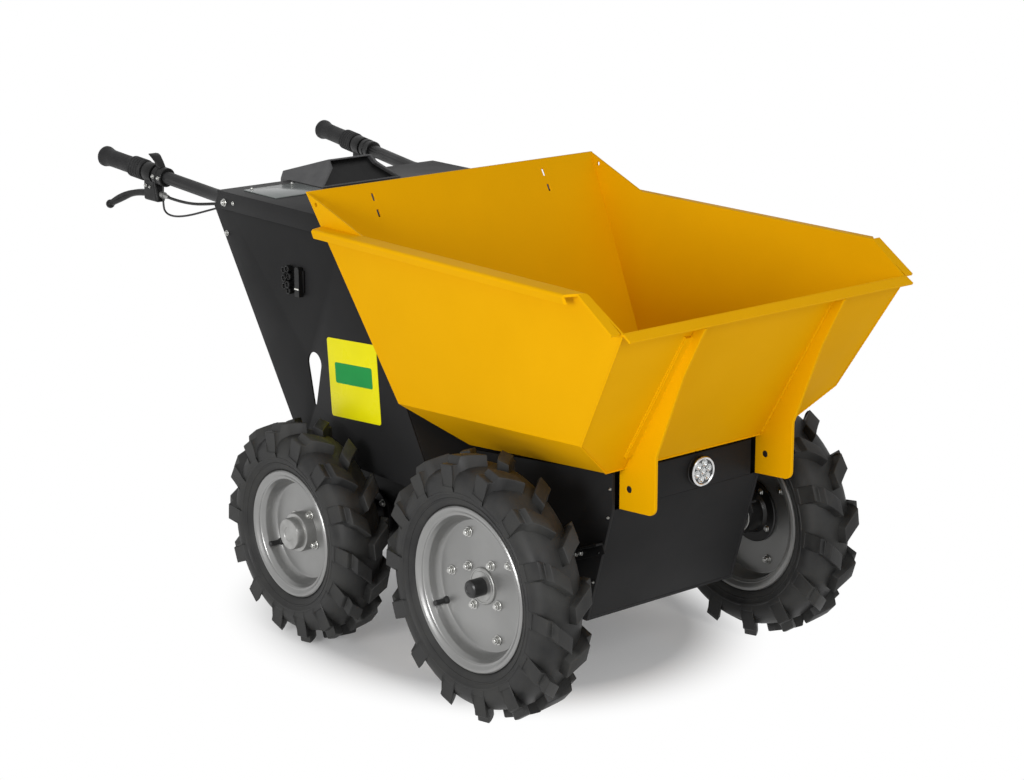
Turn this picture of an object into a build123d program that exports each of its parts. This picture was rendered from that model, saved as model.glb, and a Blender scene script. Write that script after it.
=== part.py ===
"""Walk-behind electric site dumper with a forward tipping bucket.

Millimetres. +X is forward, +Y is the driver's left, +Z is up and the wheels stand on Z = 0.
"""
import os
from math import atan2, cos, degrees, pi, sin, sqrt

from build123d import *

os.makedirs("parts", exist_ok=True)

# Wheels: tyres of two sizes on like rims
front_axle_x = 460.0
front_tyre_radius = 229.0
tyre_step = 25.0
rear_tyre_radius = front_tyre_radius - tyre_step
wheel_gap = 59.5
rear_axle_x = front_axle_x - front_tyre_radius - wheel_gap - rear_tyre_radius
tyre_width = 112.0
tyre_section = 102.0
carcass_sides = 28
crown_half_width = 36.0
crown_drop = 21.0
sidewall_drop = 43.0
sidewall_inset = 3.0
bead_margin = 9.5
lug_count = 14
lug_width = 20.0
lug_sweep = 46.0
lug_run = 73.0
lug_inset = 3.0
lug_depth = 50.0
lug_draft = 0.21
lug_shoulder = 44.0
lug_fall = 10.0
rim_width = 0.75 * tyre_width
rim_sheet = 5.0
rim_flange_rise = 15.5
disc_inset = 36.0
dish_draft = 6.0
axle_radius = 20.0
axle_fit = 0.1
stub_radius = 12.5
hub_depth = 44.0
front_hub_radius = 32.0
front_hub_stand = 4.0
front_cap_radius = 17.5
front_cap_length = 30.0
rear_hub_radius = 36.0
rear_hub_stand = 22.0
rear_cap_radius = 29.0
rear_cap_length = 16.0
running_gap = 0.3

# Chassis: folded side plates with a floor plate
chassis_half_width = 171.0
chassis_plate = 6.0
side_inner = chassis_half_width - chassis_plate
axle_drop = 72.0
chassis_bottom_z = front_tyre_radius - axle_drop
chassis_height = 160.0
chassis_deck_z = chassis_bottom_z + chassis_height
front_wheel_gap = 87.0
front_wheel_y = chassis_half_width + front_wheel_gap + tyre_width / 2
bucket_clear = 8.0

# Bucket: sheet walls given by a few corners of their outer faces
bucket_sheet = 4.0
tyre_tuck = 63.0
floor_rear_z = 2 * front_tyre_radius - tyre_tuck
floor_rise = 45.0
floor_front_z = floor_rear_z + floor_rise
floor_overhang = 168.0
floor_front_x = front_axle_x + floor_overhang
floor_length = 390.0
floor_rear_x = floor_front_x - floor_length
floor_overlap = 29.0
floor_half_width = chassis_half_width + floor_overlap
bucket_depth = 377.0
rim_z = floor_rear_z + bucket_depth
wing_height = 56.0
rear_top_z = rim_z + wing_height
rear_slope = 0.58
rear_top_x = floor_rear_x - rear_slope * (rear_top_z - floor_rear_z)
lip_drop = 52.0
lip_z = rim_z - lip_drop
front_slope = 0.6
lip_x = floor_front_x + front_slope * (lip_z - floor_front_z)
lip_flange = 18.0
fold_rear_rise = 85.0
fold_rear_z = floor_rear_z + fold_rear_rise
fold_front_rise = 72.0
fold_front_z = floor_front_z + fold_front_rise
bevel_spread = 88.0
side_lean = 0.127
rim_half_width = floor_half_width + bevel_spread + side_lean * (rim_z - fold_rear_z)
wing_length = 155.0
lip_run = 80.0
rim_end_x = lip_x - lip_run
rim_flange = 26.0
rim_lip = 16.0
rim_fall = 3.0
rim_rear_gap = 8.0
diagonal_flange = 14.0
strap_hole = 8.0
strap_inset = 16.0
strap_drop = 20.0
slit_height = 14.0
slit_width = 5.0
slit_inset = 127.0
slit_depth = 44.0
slit_pitch = 31.0

# Ears: rib plates on the front wall that carry the bucket's pivot
ear_plate = 6.0
ear_side_gap = 5.0
bracket_width = 16.0
bracket_radius = 15.0
ear_outer_y = side_inner - ear_side_gap
ear_inner_y = ear_outer_y - ear_plate
pivot_lead = 12.0
pivot_x = floor_front_x + pivot_lead
pivot_drop = 32.5
pivot_z = floor_front_z - pivot_drop
pin_radius = 5.7
ear_back = 23.0
ear_front = 62.0
ear_below = 39.0
ear_tilt = 7.0
ear_above = 68.5
ear_corner = 16.0
ear_foot = 14.0
foot_margin = 30.0
rib_height = 22.0
rib_length = 98.0

# Nose between the bucket's ears, with the lamp
nose_setback = 16.0
nose_front_x = floor_front_x - nose_setback
nose_depth = 30.0
nose_half_width = ear_inner_y - ear_side_gap
nose_height = 62.0
nose_clear = 11.5
nose_top_z = floor_front_z - nose_clear
nose_bottom_z = nose_top_z - nose_height
nose_sheet = 4.0
foot_setback = 61.0
front_foot_x = nose_front_x - foot_setback
front_lean = foot_setback / (nose_bottom_z - chassis_bottom_z)
lamp_side = 24.0
lamp_drop = 30.0
lamp_radius = 26.0
lamp_depth = 14.0
lens_radius = 22.0
lens_depth = 4.0

# Console: two side plates under a folded top
console_overhang = 83.0
console_half_width = chassis_half_width + console_overhang
console_sheet = 4.0
console_inner = console_half_width - console_sheet
console_height = 446.0
console_top_z = chassis_deck_z + console_height
console_gap = 34.0
console_length = 402.5
console_corner_run = 19.0
console_corner_drop = 28.0
console_rear_z = console_top_z - console_corner_drop
console_rear_slope = 0.662
top_flange = 30.0
rear_panel_height = 195.0
rear_wheel_gap = 17.0
rear_wheel_y = console_half_width + console_sheet + rear_wheel_gap + tyre_width / 2
keyhole_inset = 44.0
keyhole_rise = 191.0
keyhole_tip_radius = 4.0
keyhole_radius = 21.0
keyhole_length = 96.0
chassis_tail = 11.0
deck_sheet = 4.0
battery_length = 190.0
battery_width = 340.0
battery_height = 150.0
battery_gap = 21.0
label_width = 150.0
label_height = 145.0
label_rise = 162.0
label_setback = 27.5
label_corner = 6.0
label_tilt = 4.8
label_sheet = 1.0
connector_run = 271.0
connector_drop = 128.0
connector_length = 66.0
connector_height = 54.0
connector_depth = 14.0
connector_corner = 8.0

# Drive motor on the chassis floor, and the rubber buffers that the bucket's floor lies on
motor_length = 140.0
motor_width = 240.0
motor_height = 130.0
motor_setback = 60.0
buffer_run = 36.0
buffer_y = 120.0
buffer_radius = 16.0
buffer_height = 42.0
tie_width = 60.0

# Handlebars and controls
bar_radius = 12.5
bar_fit = 0.5
bar_y = console_inner - bar_radius - bar_fit
bar_drop = 14.0
bar_z = console_top_z - bar_drop
bar_inside = 101.0
bar_straight = 19.0
bar_reach = 380.0
bar_bend_radius = 150.0
grip_spread = 30.0
grip_rise = 34.0
grip_length = 142.0
grip_radius = 17.0
grip_flange_radius = 21.0
grip_flange = 8.0
grip_wall = 4.0
clamp_gap = 6.0
clamp_radius = 19.0
clamp_width = 26.0
perch_width = 16.0
perch_drop = 46.0
blade_length = 128.0
blade_drop = 92.0
blade_bow = 54.0
blade_height = 8.0
blade_width = 12.0
control_width = 30.0
thumb_width = 22.0
thumb_rise = 10.0
thumb_reach = 34.0
thumb_lift = 4.0
cable_radius = 3.0
cable_drop = 8.0
cable_entry = 30.0
cable_inset = 22.0
cable_sag = 26.0
cable_gap = 22.0
barrel_radius = 5.0
barrel_length = 16.0

# Console top fittings
hood_overhang = 28.0
hood_length = 140.0
hood_half_width = 95.0
hood_height = 45.0
hood_nose = 14.0
hood_skirt = 12.0
hood_lean = 0.4
display_run = 94.0
display_gap = 10.0
display_length = 107.0
display_width = 120.0
display_sheet = 2.0

reach = 3000.0


def wheel_plane(axle_x, hub_z, wheel_y, side):
    """Plane across the wheel's middle whose normal is the axle and points out of the machine."""
    return Plane(origin=(axle_x, side * wheel_y, hub_z), x_dir=(1, 0, 0), z_dir=(0, side, 0))


def half_section(middle):
    """Plane that holds a wheel's half section: local X is the radius and local Y points outwards."""
    return Plane(origin=middle.origin, x_dir=middle.x_dir, z_dir=middle.x_dir.cross(middle.z_dir))


def save(piece, name):
    """Label a finished piece and write it under its own name."""
    piece.label = name
    export_step(piece, f"parts/{name}.step")


# Wheels
axles = (
    (
        "front", front_axle_x, front_tyre_radius, front_wheel_y,
        front_hub_radius, front_hub_stand, front_cap_radius, front_cap_length,
    ),
    (
        "rear", rear_axle_x, rear_tyre_radius, rear_wheel_y,
        rear_hub_radius, rear_hub_stand, rear_cap_radius, rear_cap_length,
    ),
)
bead_y = rim_width / 2 - rim_sheet
disc_y = rim_width / 2 - disc_inset
stub_end = disc_y - rim_sheet
hub_in = stub_end - hub_depth
lug_line = Vector(0, lug_sweep, lug_run)
lug_reach = (lug_sweep + lug_width * lug_run / lug_line.length) / 2
facet_turn = pi / carcass_sides
for end, axle_x, tyre_radius, wheel_y, hub_radius, hub_stand, cap_radius, cap_length in axles:
    seat_radius = tyre_radius - tyre_section
    flange_radius = seat_radius + rim_flange_rise
    well_radius = seat_radius - rim_sheet
    bead_radius = flange_radius + bead_margin
    sidewall_radius = tyre_radius - sidewall_drop
    crown_radius = tyre_radius - crown_drop
    lug_top = sqrt(tyre_radius**2 - lug_reach**2)
    lug_lead = degrees(atan2(lug_reach, lug_top))

    # One flat facet of the carcass, whose beads sit between the rim's flanges
    with BuildPart() as facet:
        with BuildSketch(Plane.XZ):
            with BuildLine():
                Polyline(
                    (seat_radius, -bead_y),
                    (bead_radius, -bead_y),
                    (sidewall_radius, sidewall_inset - tyre_width / 2),
                    (crown_radius, -crown_half_width),
                    (crown_radius, crown_half_width),
                    (sidewall_radius, tyre_width / 2 - sidewall_inset),
                    (bead_radius, bead_y),
                    (seat_radius, bead_y),
                    close=True,
                )
            make_face()
        extrude(amount=tyre_width, both=True)
        for hand in (-1, 1):
            split(bisect_by=Plane((0, 0, 0), z_dir=(-sin(facet_turn), hand * cos(facet_turn), 0)), keep=Keep.BOTTOM)

    # Lug: a drafted bar that trails from the crown's middle and falls away at the shoulder
    lug_start = Plane(origin=(lug_top, -lug_sweep / 2, lug_inset), x_dir=(1, 0, 0), z_dir=lug_line)
    lug_foot = lug_width / 2 + lug_draft * lug_depth
    with BuildPart() as lug:
        with BuildSketch(lug_start):
            with BuildLine():
                Polyline(
                    (0, -lug_width / 2),
                    (0, lug_width / 2),
                    (-lug_depth, lug_foot),
                    (-lug_depth, -lug_foot),
                    close=True,
                )
            make_face()
        extrude(amount=lug_line.length)
        split(bisect_by=Plane.XY.offset(tyre_width / 2), keep=Keep.BOTTOM)
        fall_start = Vector(lug_top, 0, lug_shoulder)
        fall_normal = Vector(tyre_width / 2 - lug_shoulder, 0, lug_fall)
        split(bisect_by=Plane(origin=fall_start, z_dir=fall_normal), keep=Keep.BOTTOM)

    for hand, side in (("right", -1), ("left", 1)):
        middle = wheel_plane(axle_x, tyre_radius, wheel_y, side)
        section = half_section(middle)

        # Tyre: two rows of lugs, half a pitch apart, that point forward where they meet on the crown
        lug_axis = middle if side < 0 else Plane(middle.origin, middle.x_dir, -middle.z_dir)
        first_lug = lug_lead - 90
        with BuildPart(lug_axis) as tyre:
            with PolarLocations(0, carcass_sides):
                add(facet.part)
            with PolarLocations(0, lug_count, start_angle=first_lug):
                add(lug.part)
            with PolarLocations(0, lug_count, start_angle=first_lug + 180 / lug_count):
                add(mirror(lug.part, about=Plane.XY, mode=Mode.PRIVATE))
        save(tyre.part, f"tyre_{end}_{hand}")

        # Rim with a seat, a flange at both edges and a dished disc set in from the outer flange
        with BuildPart() as rim:
            with BuildSketch(section):
                with BuildLine():
                    Polyline(
                        (seat_radius, bead_y),
                        (seat_radius, -bead_y),
                        (flange_radius, -bead_y),
                        (well_radius, -rim_width / 2),
                        (well_radius, disc_y - rim_sheet),
                        (hub_radius, disc_y - rim_sheet),
                        (hub_radius, disc_y),
                        (well_radius - dish_draft, disc_y),
                        (well_radius, rim_width / 2),
                        (flange_radius, bead_y),
                        close=True,
                    )
                make_face()
            revolve(axis=Axis(middle.origin, middle.z_dir))
        save(rim.part, f"rim_{end}_{hand}")

        # Hub that fills the disc's bore, turns on the axle's stub and ends in a smaller cap
        with BuildPart() as hub:
            with BuildSketch(section):
                with BuildLine():
                    Polyline(
                        (stub_radius + running_gap, hub_in),
                        (hub_radius, hub_in),
                        (hub_radius, disc_y + hub_stand),
                        (cap_radius, disc_y + hub_stand),
                        (cap_radius, disc_y + hub_stand + cap_length),
                        (0, disc_y + hub_stand + cap_length),
                        (0, stub_end + running_gap),
                        (stub_radius + running_gap, stub_end + running_gap),
                        close=True,
                    )
                make_face()
            revolve(axis=Axis(middle.origin, middle.z_dir))
        save(hub.part, f"hub_{end}_{hand}")

    # Axle beam through both side plates, stepped down to the stubs that carry the hubs
    hub_face = wheel_y + hub_in - running_gap
    stub_tip = wheel_y + stub_end
    with BuildPart() as axle:
        with BuildSketch(Plane.XZ):
            with Locations((axle_x, tyre_radius)):
                Circle(axle_radius)
        extrude(amount=hub_face, both=True)
        with BuildSketch(Plane.XZ):
            with Locations((axle_x, tyre_radius)):
                Circle(stub_radius)
        extrude(amount=stub_tip, both=True)
    save(axle.part, f"{end}_axle")

# Bucket planes, each on a wall's outer face with its normal pointing out
rear_out = Plane(origin=(rear_top_x, 0, rear_top_z), z_dir=(-1, 0, -rear_slope))
front_out = Plane(
    origin=(floor_front_x, 0, floor_front_z),
    z_dir=(1, 0, -front_slope),
)


def rear_wall_x(z):
    """X of the rear wall's outer face at a height."""
    return rear_top_x + rear_slope * (rear_top_z - z)


def front_wall_x(z):
    """X of the front wall's outer face at a height."""
    return floor_front_x + front_slope * (z - floor_front_z)


def side_wall_y(z):
    """Half width over the side walls' outer faces at a height."""
    return rim_half_width - side_lean * (rim_z - z)


floor_slope = floor_rise / floor_length
floor_out = Plane(origin=(floor_front_x, 0, floor_front_z), z_dir=(floor_slope, 0, -1))


def floor_z(x):
    """Height of the bucket floor's underside."""
    return floor_front_z - floor_slope * (floor_front_x - x)


def side_plane(side):
    """Outer face of a side wall, which leans out towards the rim."""
    return Plane(origin=(0, side * rim_half_width, rim_z), z_dir=(0, side, -side_lean))


def bevel_plane(side):
    """Outer face of the bevel between a side wall's fold and the floor."""
    fold_rear = Vector(rear_wall_x(fold_rear_z), side * side_wall_y(fold_rear_z), fold_rear_z)
    fold_front = Vector(front_wall_x(fold_front_z), side * side_wall_y(fold_front_z), fold_front_z)
    foot = Vector(floor_front_x, side * floor_half_width, floor_front_z)
    normal = (fold_front - fold_rear).cross(foot - fold_rear)
    if normal.Z > 0:
        normal = normal * -1
    return Plane(origin=foot, z_dir=normal)


def sheet(plane, *limits):
    """Sheet on a wall's plane, trimmed to the inner side of each limiting plane."""
    with BuildPart() as panel:
        with BuildSketch(plane):
            Rectangle(reach, reach)
        extrude(amount=-bucket_sheet)
        for limit in limits:
            split(bisect_by=limit, keep=Keep.BOTTOM)
    return panel.part


rear_in = rear_out.offset(-bucket_sheet)
front_in = front_out.offset(-bucket_sheet)
top_limit = Plane(origin=(0, 0, rear_top_z))
lip_limit = Plane(origin=(lip_x, 0, lip_z), z_dir=front_out.z_dir.cross(Vector(0, -1, 0)))
if lip_limit.z_dir.Z < 0:
    lip_limit = Plane(origin=lip_limit.origin, z_dir=lip_limit.z_dir * -1)

# Bucket floor between the bevels and the end walls
with BuildPart() as bucket_floor:
    add(
        sheet(
            floor_out,
            rear_in,
            front_in,
            bevel_plane(-1).offset(-bucket_sheet),
            bevel_plane(1).offset(-bucket_sheet),
        )
    )
save(bucket_floor.part, "bucket_floor")

# Rear wall, out to the sides' outer faces, with four slits near its top
with BuildPart() as bucket_rear_wall:
    add(sheet(rear_out, top_limit, side_plane(-1), side_plane(1), bevel_plane(-1), bevel_plane(1), floor_out))
    slit_plane = Plane(origin=rear_out.origin, x_dir=(0, 1, 0), z_dir=rear_out.z_dir)
    with BuildSketch(slit_plane):
        with Locations((0, slit_depth)):
            with GridLocations(2 * (rim_half_width - slit_inset), slit_pitch, 2, 2):
                Rectangle(slit_width, slit_height)
    extrude(amount=-bucket_sheet, mode=Mode.SUBTRACT)
save(bucket_rear_wall.part, "bucket_rear_wall")

# Front wall with a lip flange folded out square to it
with BuildPart() as bucket_front_wall:
    add(sheet(front_out, lip_limit, side_plane(-1), side_plane(1), bevel_plane(-1), bevel_plane(1), floor_out))
    lip_edge = Plane(origin=(lip_x, 0, lip_z), x_dir=front_out.z_dir, z_dir=(0, -1, 0))
    with BuildSketch(lip_edge):
        with Locations((lip_flange / 2, 0)):
            Rectangle(lip_flange, bucket_sheet)
    extrude(amount=side_wall_y(lip_z), both=True)
save(bucket_front_wall.part, "bucket_front_wall")

rib_z = lip_z - rib_length
ear_rear_x = pivot_x - ear_back
ear_front_x = pivot_x + ear_front
ear_bottom_z = pivot_z - ear_below
ear_knee_z = pivot_z + ear_above
for hand, side in (("right", -1), ("left", 1)):
    # Side wall: wing, rim and the edge that falls to the lip
    with BuildPart() as wall:
        add(sheet(side_plane(side), rear_in, front_in, bevel_plane(side)))
        with BuildSketch(Plane.XZ):
            with BuildLine():
                Polyline(
                    (rear_top_x - reach, rear_top_z),
                    (rear_top_x, rear_top_z),
                    (rear_top_x + wing_length, rim_z),
                    (rim_end_x, rim_z),
                    (lip_x, lip_z),
                    (lip_x + reach, lip_z),
                    (lip_x + reach, 0),
                    (rear_top_x - reach, 0),
                    close=True,
                )
            make_face()
        extrude(amount=reach, both=True, mode=Mode.INTERSECT)
    with BuildPart() as bevel:
        add(sheet(bevel_plane(side), rear_in, front_in, side_plane(side).offset(-bucket_sheet), floor_out))

    # Rim flange folded out and down, with its front end cut back
    rim_start_x = rear_wall_x(rim_z) + rim_rear_gap
    with BuildPart() as rim_fold:
        with BuildSketch(Plane.YZ.offset(rim_start_x)):
            with BuildLine():
                Polyline(
                    (side * (rim_half_width - bucket_sheet), rim_z),
                    (side * rim_half_width, rim_z),
                    (side * (rim_half_width + rim_flange), rim_z - rim_fall),
                    (side * (rim_half_width + rim_flange), rim_z - rim_fall - rim_lip),
                    (side * (rim_half_width + rim_flange - bucket_sheet), rim_z - rim_fall - rim_lip),
                    (side * (rim_half_width + rim_flange - bucket_sheet), rim_z - rim_fall - bucket_sheet),
                    (side * (rim_half_width - bucket_sheet), rim_z - bucket_sheet),
                    close=True,
                )
            make_face()
        extrude(amount=rim_end_x - rim_start_x)
        end_cut = Plane(origin=(rim_end_x, side * rim_half_width, rim_z), z_dir=(1, side, 0))
        split(bisect_by=end_cut, keep=Keep.BOTTOM)

    # Flange along the falling edge, which meets the lip's flange
    with BuildPart() as edge_fold:
        edge_line = Vector(lip_x - rim_end_x, 0, lip_z - rim_z)
        edge_start = Plane(
            origin=(rim_end_x, side * (side_wall_y(rim_z) - bucket_sheet), rim_z),
            x_dir=(0, side, 0),
            z_dir=edge_line,
        )
        fold_width = diagonal_flange + bucket_sheet
        with BuildSketch(edge_start):
            with Locations((fold_width / 2, side * -bucket_sheet / 2)):
                Rectangle(fold_width, bucket_sheet)
        extrude(amount=edge_line.length)
        split(bisect_by=front_in, keep=Keep.BOTTOM)
    with BuildPart() as bucket_side:
        add(wall.part)
        add(bevel.part)
        add(rim_fold.part)
        add(edge_fold.part)
        strap_z = rear_top_z - strap_drop
        strap_point = (rear_wall_x(strap_z) + strap_inset, side * side_wall_y(strap_z), strap_z)
        with BuildSketch(Plane(origin=strap_point, z_dir=side_plane(side).z_dir)):
            Circle(strap_hole / 2)
        extrude(amount=-bucket_sheet, mode=Mode.SUBTRACT)
    save(bucket_side.part, f"bucket_side_{hand}")

    # Ear: a rib with a foot along the front wall that runs down to the pivot
    ear_plane = Plane(origin=(0, side * ear_inner_y, 0), x_dir=(1, 0, 0), z_dir=(0, -1, 0))
    rib_x = rib_height / front_out.z_dir.X
    rib_end = Vector(lip_x, 0, lip_z) + front_out.z_dir * lip_flange - lip_limit.z_dir * bucket_sheet
    rib_root = Vector(lip_x, 0, lip_z) - lip_limit.z_dir * bucket_sheet
    with BuildPart() as bucket_ear:
        with BuildSketch(ear_plane):
            with BuildLine():
                Polyline(
                    (ear_rear_x, ear_bottom_z),
                    (ear_front_x, ear_bottom_z + ear_tilt),
                    (ear_front_x, ear_knee_z),
                    (front_wall_x(rib_z) + rib_x, rib_z),
                    (rib_end.X, rib_end.Z),
                    (rib_root.X, rib_root.Z),
                    (floor_front_x, floor_front_z),
                    (ear_rear_x, floor_z(ear_rear_x)),
                    close=True,
                )
            make_face()
        extrude(amount=-side * ear_plate)
        foot_corner = (ear_front_x, side * ear_inner_y, ear_bottom_z + ear_tilt)
        fillet(bucket_ear.edges().filter_by(Axis.Y).sort_by_distance(foot_corner)[0], ear_corner)
        with BuildSketch(ear_plane):
            with Locations((pivot_x, pivot_z)):
                Circle(pin_radius + running_gap)
        extrude(amount=-side * ear_plate, mode=Mode.SUBTRACT)
        foot_length = (rib_root - front_out.origin).length - 2 * foot_margin
        foot_origin = front_out.origin + Vector(0, side * (ear_outer_y + ear_foot / 2), 0)
        with BuildSketch(Plane(origin=foot_origin, x_dir=(0, 1, 0), z_dir=front_out.z_dir)):
            with Locations((0, foot_margin + foot_length / 2)):
                Rectangle(ear_foot, foot_length)
        extrude(amount=bucket_sheet)
    save(bucket_ear.part, f"bucket_ear_{hand}")


def front_edge_x(z):
    """X of the chassis's sloping front at a height."""
    return front_foot_x + front_lean * (z - chassis_bottom_z)


def console_front_edge(z):
    """X of the console's front edge, which runs along the bucket's rear wall."""
    return rear_wall_x(z) - console_gap


console_corner_x = console_front_edge(console_top_z) - console_length
console_rear_x = console_corner_x - console_corner_run


def console_rear_edge(z):
    """X of the console's rear edge at a height."""
    return console_rear_x + console_rear_slope * (console_rear_z - z)


# Chassis frame: side plates and floor plate folded from one sheet, with a cross tie for the buffers
deck_front_x = console_front_edge(chassis_deck_z)
deck_rear_x = console_rear_edge(chassis_deck_z)
chassis_rear_x = deck_rear_x - chassis_tail
buffer_x = deck_front_x + buffer_run
tie_z = floor_z(buffer_x) - buffer_height - chassis_plate
with BuildPart() as chassis_frame:
    with BuildSketch(Plane.XZ):
        with BuildLine():
            Polyline(
                (chassis_rear_x, chassis_bottom_z),
                (front_foot_x, chassis_bottom_z),
                (nose_front_x, nose_bottom_z),
                (nose_front_x, floor_z(nose_front_x) - bucket_clear),
                (deck_front_x, floor_z(deck_front_x) - bucket_clear),
                (deck_front_x, chassis_deck_z),
                (chassis_rear_x, chassis_deck_z),
                close=True,
            )
        make_face()
    extrude(amount=chassis_half_width, both=True)
    with BuildSketch(Plane.XY.offset(chassis_bottom_z + chassis_plate)):
        Rectangle(reach, 2 * side_inner)
    extrude(amount=reach, mode=Mode.SUBTRACT)
    with BuildSketch(Plane.XY.offset(tie_z)):
        with Locations((buffer_x, 0)):
            Rectangle(tie_width, 2 * side_inner)
    extrude(amount=chassis_plate)
    with BuildSketch(Plane.XZ):
        with Locations((front_axle_x, front_tyre_radius), (rear_axle_x, rear_tyre_radius)):
            Circle(axle_radius + axle_fit)
    extrude(amount=reach, both=True, mode=Mode.SUBTRACT)
save(chassis_frame.part, "chassis_frame")

# Sloping front panel between the side plates, up to the nose
panel_foot_z = chassis_bottom_z + chassis_plate
with BuildPart() as front_panel:
    with BuildSketch(Plane.XZ):
        with BuildLine():
            Polyline(
                (front_edge_x(panel_foot_z), panel_foot_z),
                (front_edge_x(nose_bottom_z), nose_bottom_z),
                (front_edge_x(nose_bottom_z) - nose_sheet, nose_bottom_z),
                (front_edge_x(panel_foot_z) - nose_sheet, panel_foot_z),
                close=True,
            )
        make_face()
    extrude(amount=side_inner, both=True)
save(front_panel.part, "front_panel")

# Nose: a shallow box, open at the back, that stands on the front panel's edge
nose_middle_z = (nose_top_z + nose_bottom_z) / 2
with BuildPart() as nose_panel:
    with BuildSketch(Plane.YZ.offset(nose_front_x)):
        with Locations((0, nose_middle_z)):
            Rectangle(2 * nose_half_width, nose_height)
    extrude(amount=-nose_depth)
    with BuildSketch(Plane.YZ.offset(nose_front_x - nose_sheet)):
        with Locations((0, nose_middle_z)):
            Rectangle(2 * (nose_half_width - nose_sheet), nose_height - 2 * nose_sheet)
    extrude(amount=-nose_depth, mode=Mode.SUBTRACT)
save(nose_panel.part, "nose_panel")

# Lamp: a shallow cup on the nose with its lens set in flush
lamp_spot = (nose_front_x, lamp_side, nose_top_z - lamp_drop)
lamp_plane = Plane(origin=lamp_spot, x_dir=(0, 1, 0), z_dir=(1, 0, 0))
with BuildPart() as lamp_body:
    with BuildSketch(lamp_plane):
        Circle(lamp_radius)
    extrude(amount=lamp_depth)
    with BuildSketch(lamp_plane.offset(lamp_depth)):
        Circle(lens_radius)
    extrude(amount=-lens_depth, mode=Mode.SUBTRACT)
save(lamp_body.part, "lamp_body")
with BuildPart() as lamp_lens:
    with BuildSketch(lamp_plane.offset(lamp_depth - lens_depth)):
        Circle(lens_radius)
    extrude(amount=lens_depth)
save(lamp_lens.part, "lamp_lens")

# Pivot brackets: one on the nose and one outside the left plate, with pins that point the same way
with BuildPart() as pivot_brackets:
    for root_x, root_y, pin_gap in (
        (nose_front_x, bracket_width - nose_half_width, ear_side_gap),
        (nose_front_x - nose_depth, chassis_half_width + bracket_width, chassis_half_width - ear_outer_y),
    ):
        lug_plane = Plane(origin=(0, root_y, 0), x_dir=(1, 0, 0), z_dir=(0, -1, 0))
        with BuildSketch(lug_plane):
            with Locations((pivot_x, pivot_z)):
                Circle(bracket_radius)
            with Locations(((pivot_x + root_x) / 2, pivot_z)):
                Rectangle(pivot_x - root_x, 2 * bracket_radius)
        extrude(amount=bracket_width)
        with BuildSketch(lug_plane.offset(bracket_width)):
            with Locations((pivot_x, pivot_z)):
                Circle(pin_radius)
        extrude(amount=pin_gap + ear_plate - running_gap)
save(pivot_brackets.part, "pivot_brackets")

# Rubber buffers on the cross tie, cut to the slope of the bucket's floor
with BuildPart() as bucket_buffers:
    with BuildSketch(Plane.XY.offset(tie_z + chassis_plate)):
        with Locations((buffer_x, buffer_y), (buffer_x, -buffer_y)):
            Circle(buffer_radius)
    extrude(amount=floor_front_z - tie_z)
    split(bisect_by=floor_out.offset(running_gap), keep=Keep.TOP)
save(bucket_buffers.part, "bucket_buffers")

# Console side plates with a keyhole opening
keyhole_x = deck_rear_x + keyhole_inset
keyhole_top_z = chassis_deck_z + keyhole_rise
for hand, side in (("right", -1), ("left", 1)):
    plate_plane = Plane(origin=(0, side * console_inner, 0), x_dir=(1, 0, 0), z_dir=(0, -1, 0))
    with BuildPart() as console_side:
        with BuildSketch(plate_plane):
            with BuildLine():
                Polyline(
                    (console_rear_x, console_rear_z),
                    (console_corner_x, console_top_z),
                    (console_front_edge(console_top_z), console_top_z),
                    (deck_front_x, chassis_deck_z),
                    (deck_rear_x, chassis_deck_z),
                    close=True,
                )
            make_face()
        extrude(amount=-side * console_sheet)
        with BuildSketch(plate_plane):
            with Locations((keyhole_x, keyhole_top_z - keyhole_radius)):
                Circle(keyhole_radius)
            with Locations((keyhole_x, keyhole_top_z - keyhole_length)):
                Circle(keyhole_tip_radius)
            make_hull()
        extrude(amount=-side * console_sheet, mode=Mode.SUBTRACT)
    save(console_side.part, f"console_side_{hand}")

# Console top: a plate folded down over both side plates
with BuildPart() as console_top:
    with BuildSketch(Plane.XY.offset(console_top_z - top_flange)):
        with Locations((console_corner_x + console_length / 2, 0)):
            Rectangle(console_length, 2 * (console_half_width + console_sheet))
    extrude(amount=top_flange + console_sheet)
    with BuildSketch(Plane.XY.offset(console_top_z)):
        Rectangle(reach, 2 * console_half_width)
    extrude(amount=-reach, mode=Mode.SUBTRACT)
save(console_top.part, "console_top")

# Console rear panel, open below
rear_panel_top_z = bar_z - bar_radius - cable_gap
rear_panel_bottom_z = rear_panel_top_z - rear_panel_height
with BuildPart() as console_rear_panel:
    with BuildSketch(Plane.XZ):
        with BuildLine():
            Polyline(
                (console_rear_edge(rear_panel_top_z), rear_panel_top_z),
                (console_rear_edge(rear_panel_bottom_z), rear_panel_bottom_z),
                (console_rear_edge(rear_panel_bottom_z) + console_sheet, rear_panel_bottom_z),
                (console_rear_edge(rear_panel_top_z) + console_sheet, rear_panel_top_z),
                close=True,
            )
        make_face()
    extrude(amount=console_inner, both=True)
save(console_rear_panel.part, "console_rear_panel")

# Console front panel behind the bucket, down to the deck
deck_top_z = chassis_deck_z + deck_sheet
with BuildPart() as console_front_panel:
    with BuildSketch(Plane.XZ):
        with BuildLine():
            Polyline(
                (console_front_edge(console_top_z), console_top_z),
                (console_front_edge(deck_top_z), deck_top_z),
                (console_front_edge(deck_top_z) - console_sheet, deck_top_z),
                (console_front_edge(console_top_z) - console_sheet, console_top_z),
                close=True,
            )
        make_face()
    extrude(amount=console_inner, both=True)
save(console_front_panel.part, "console_front_panel")

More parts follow.
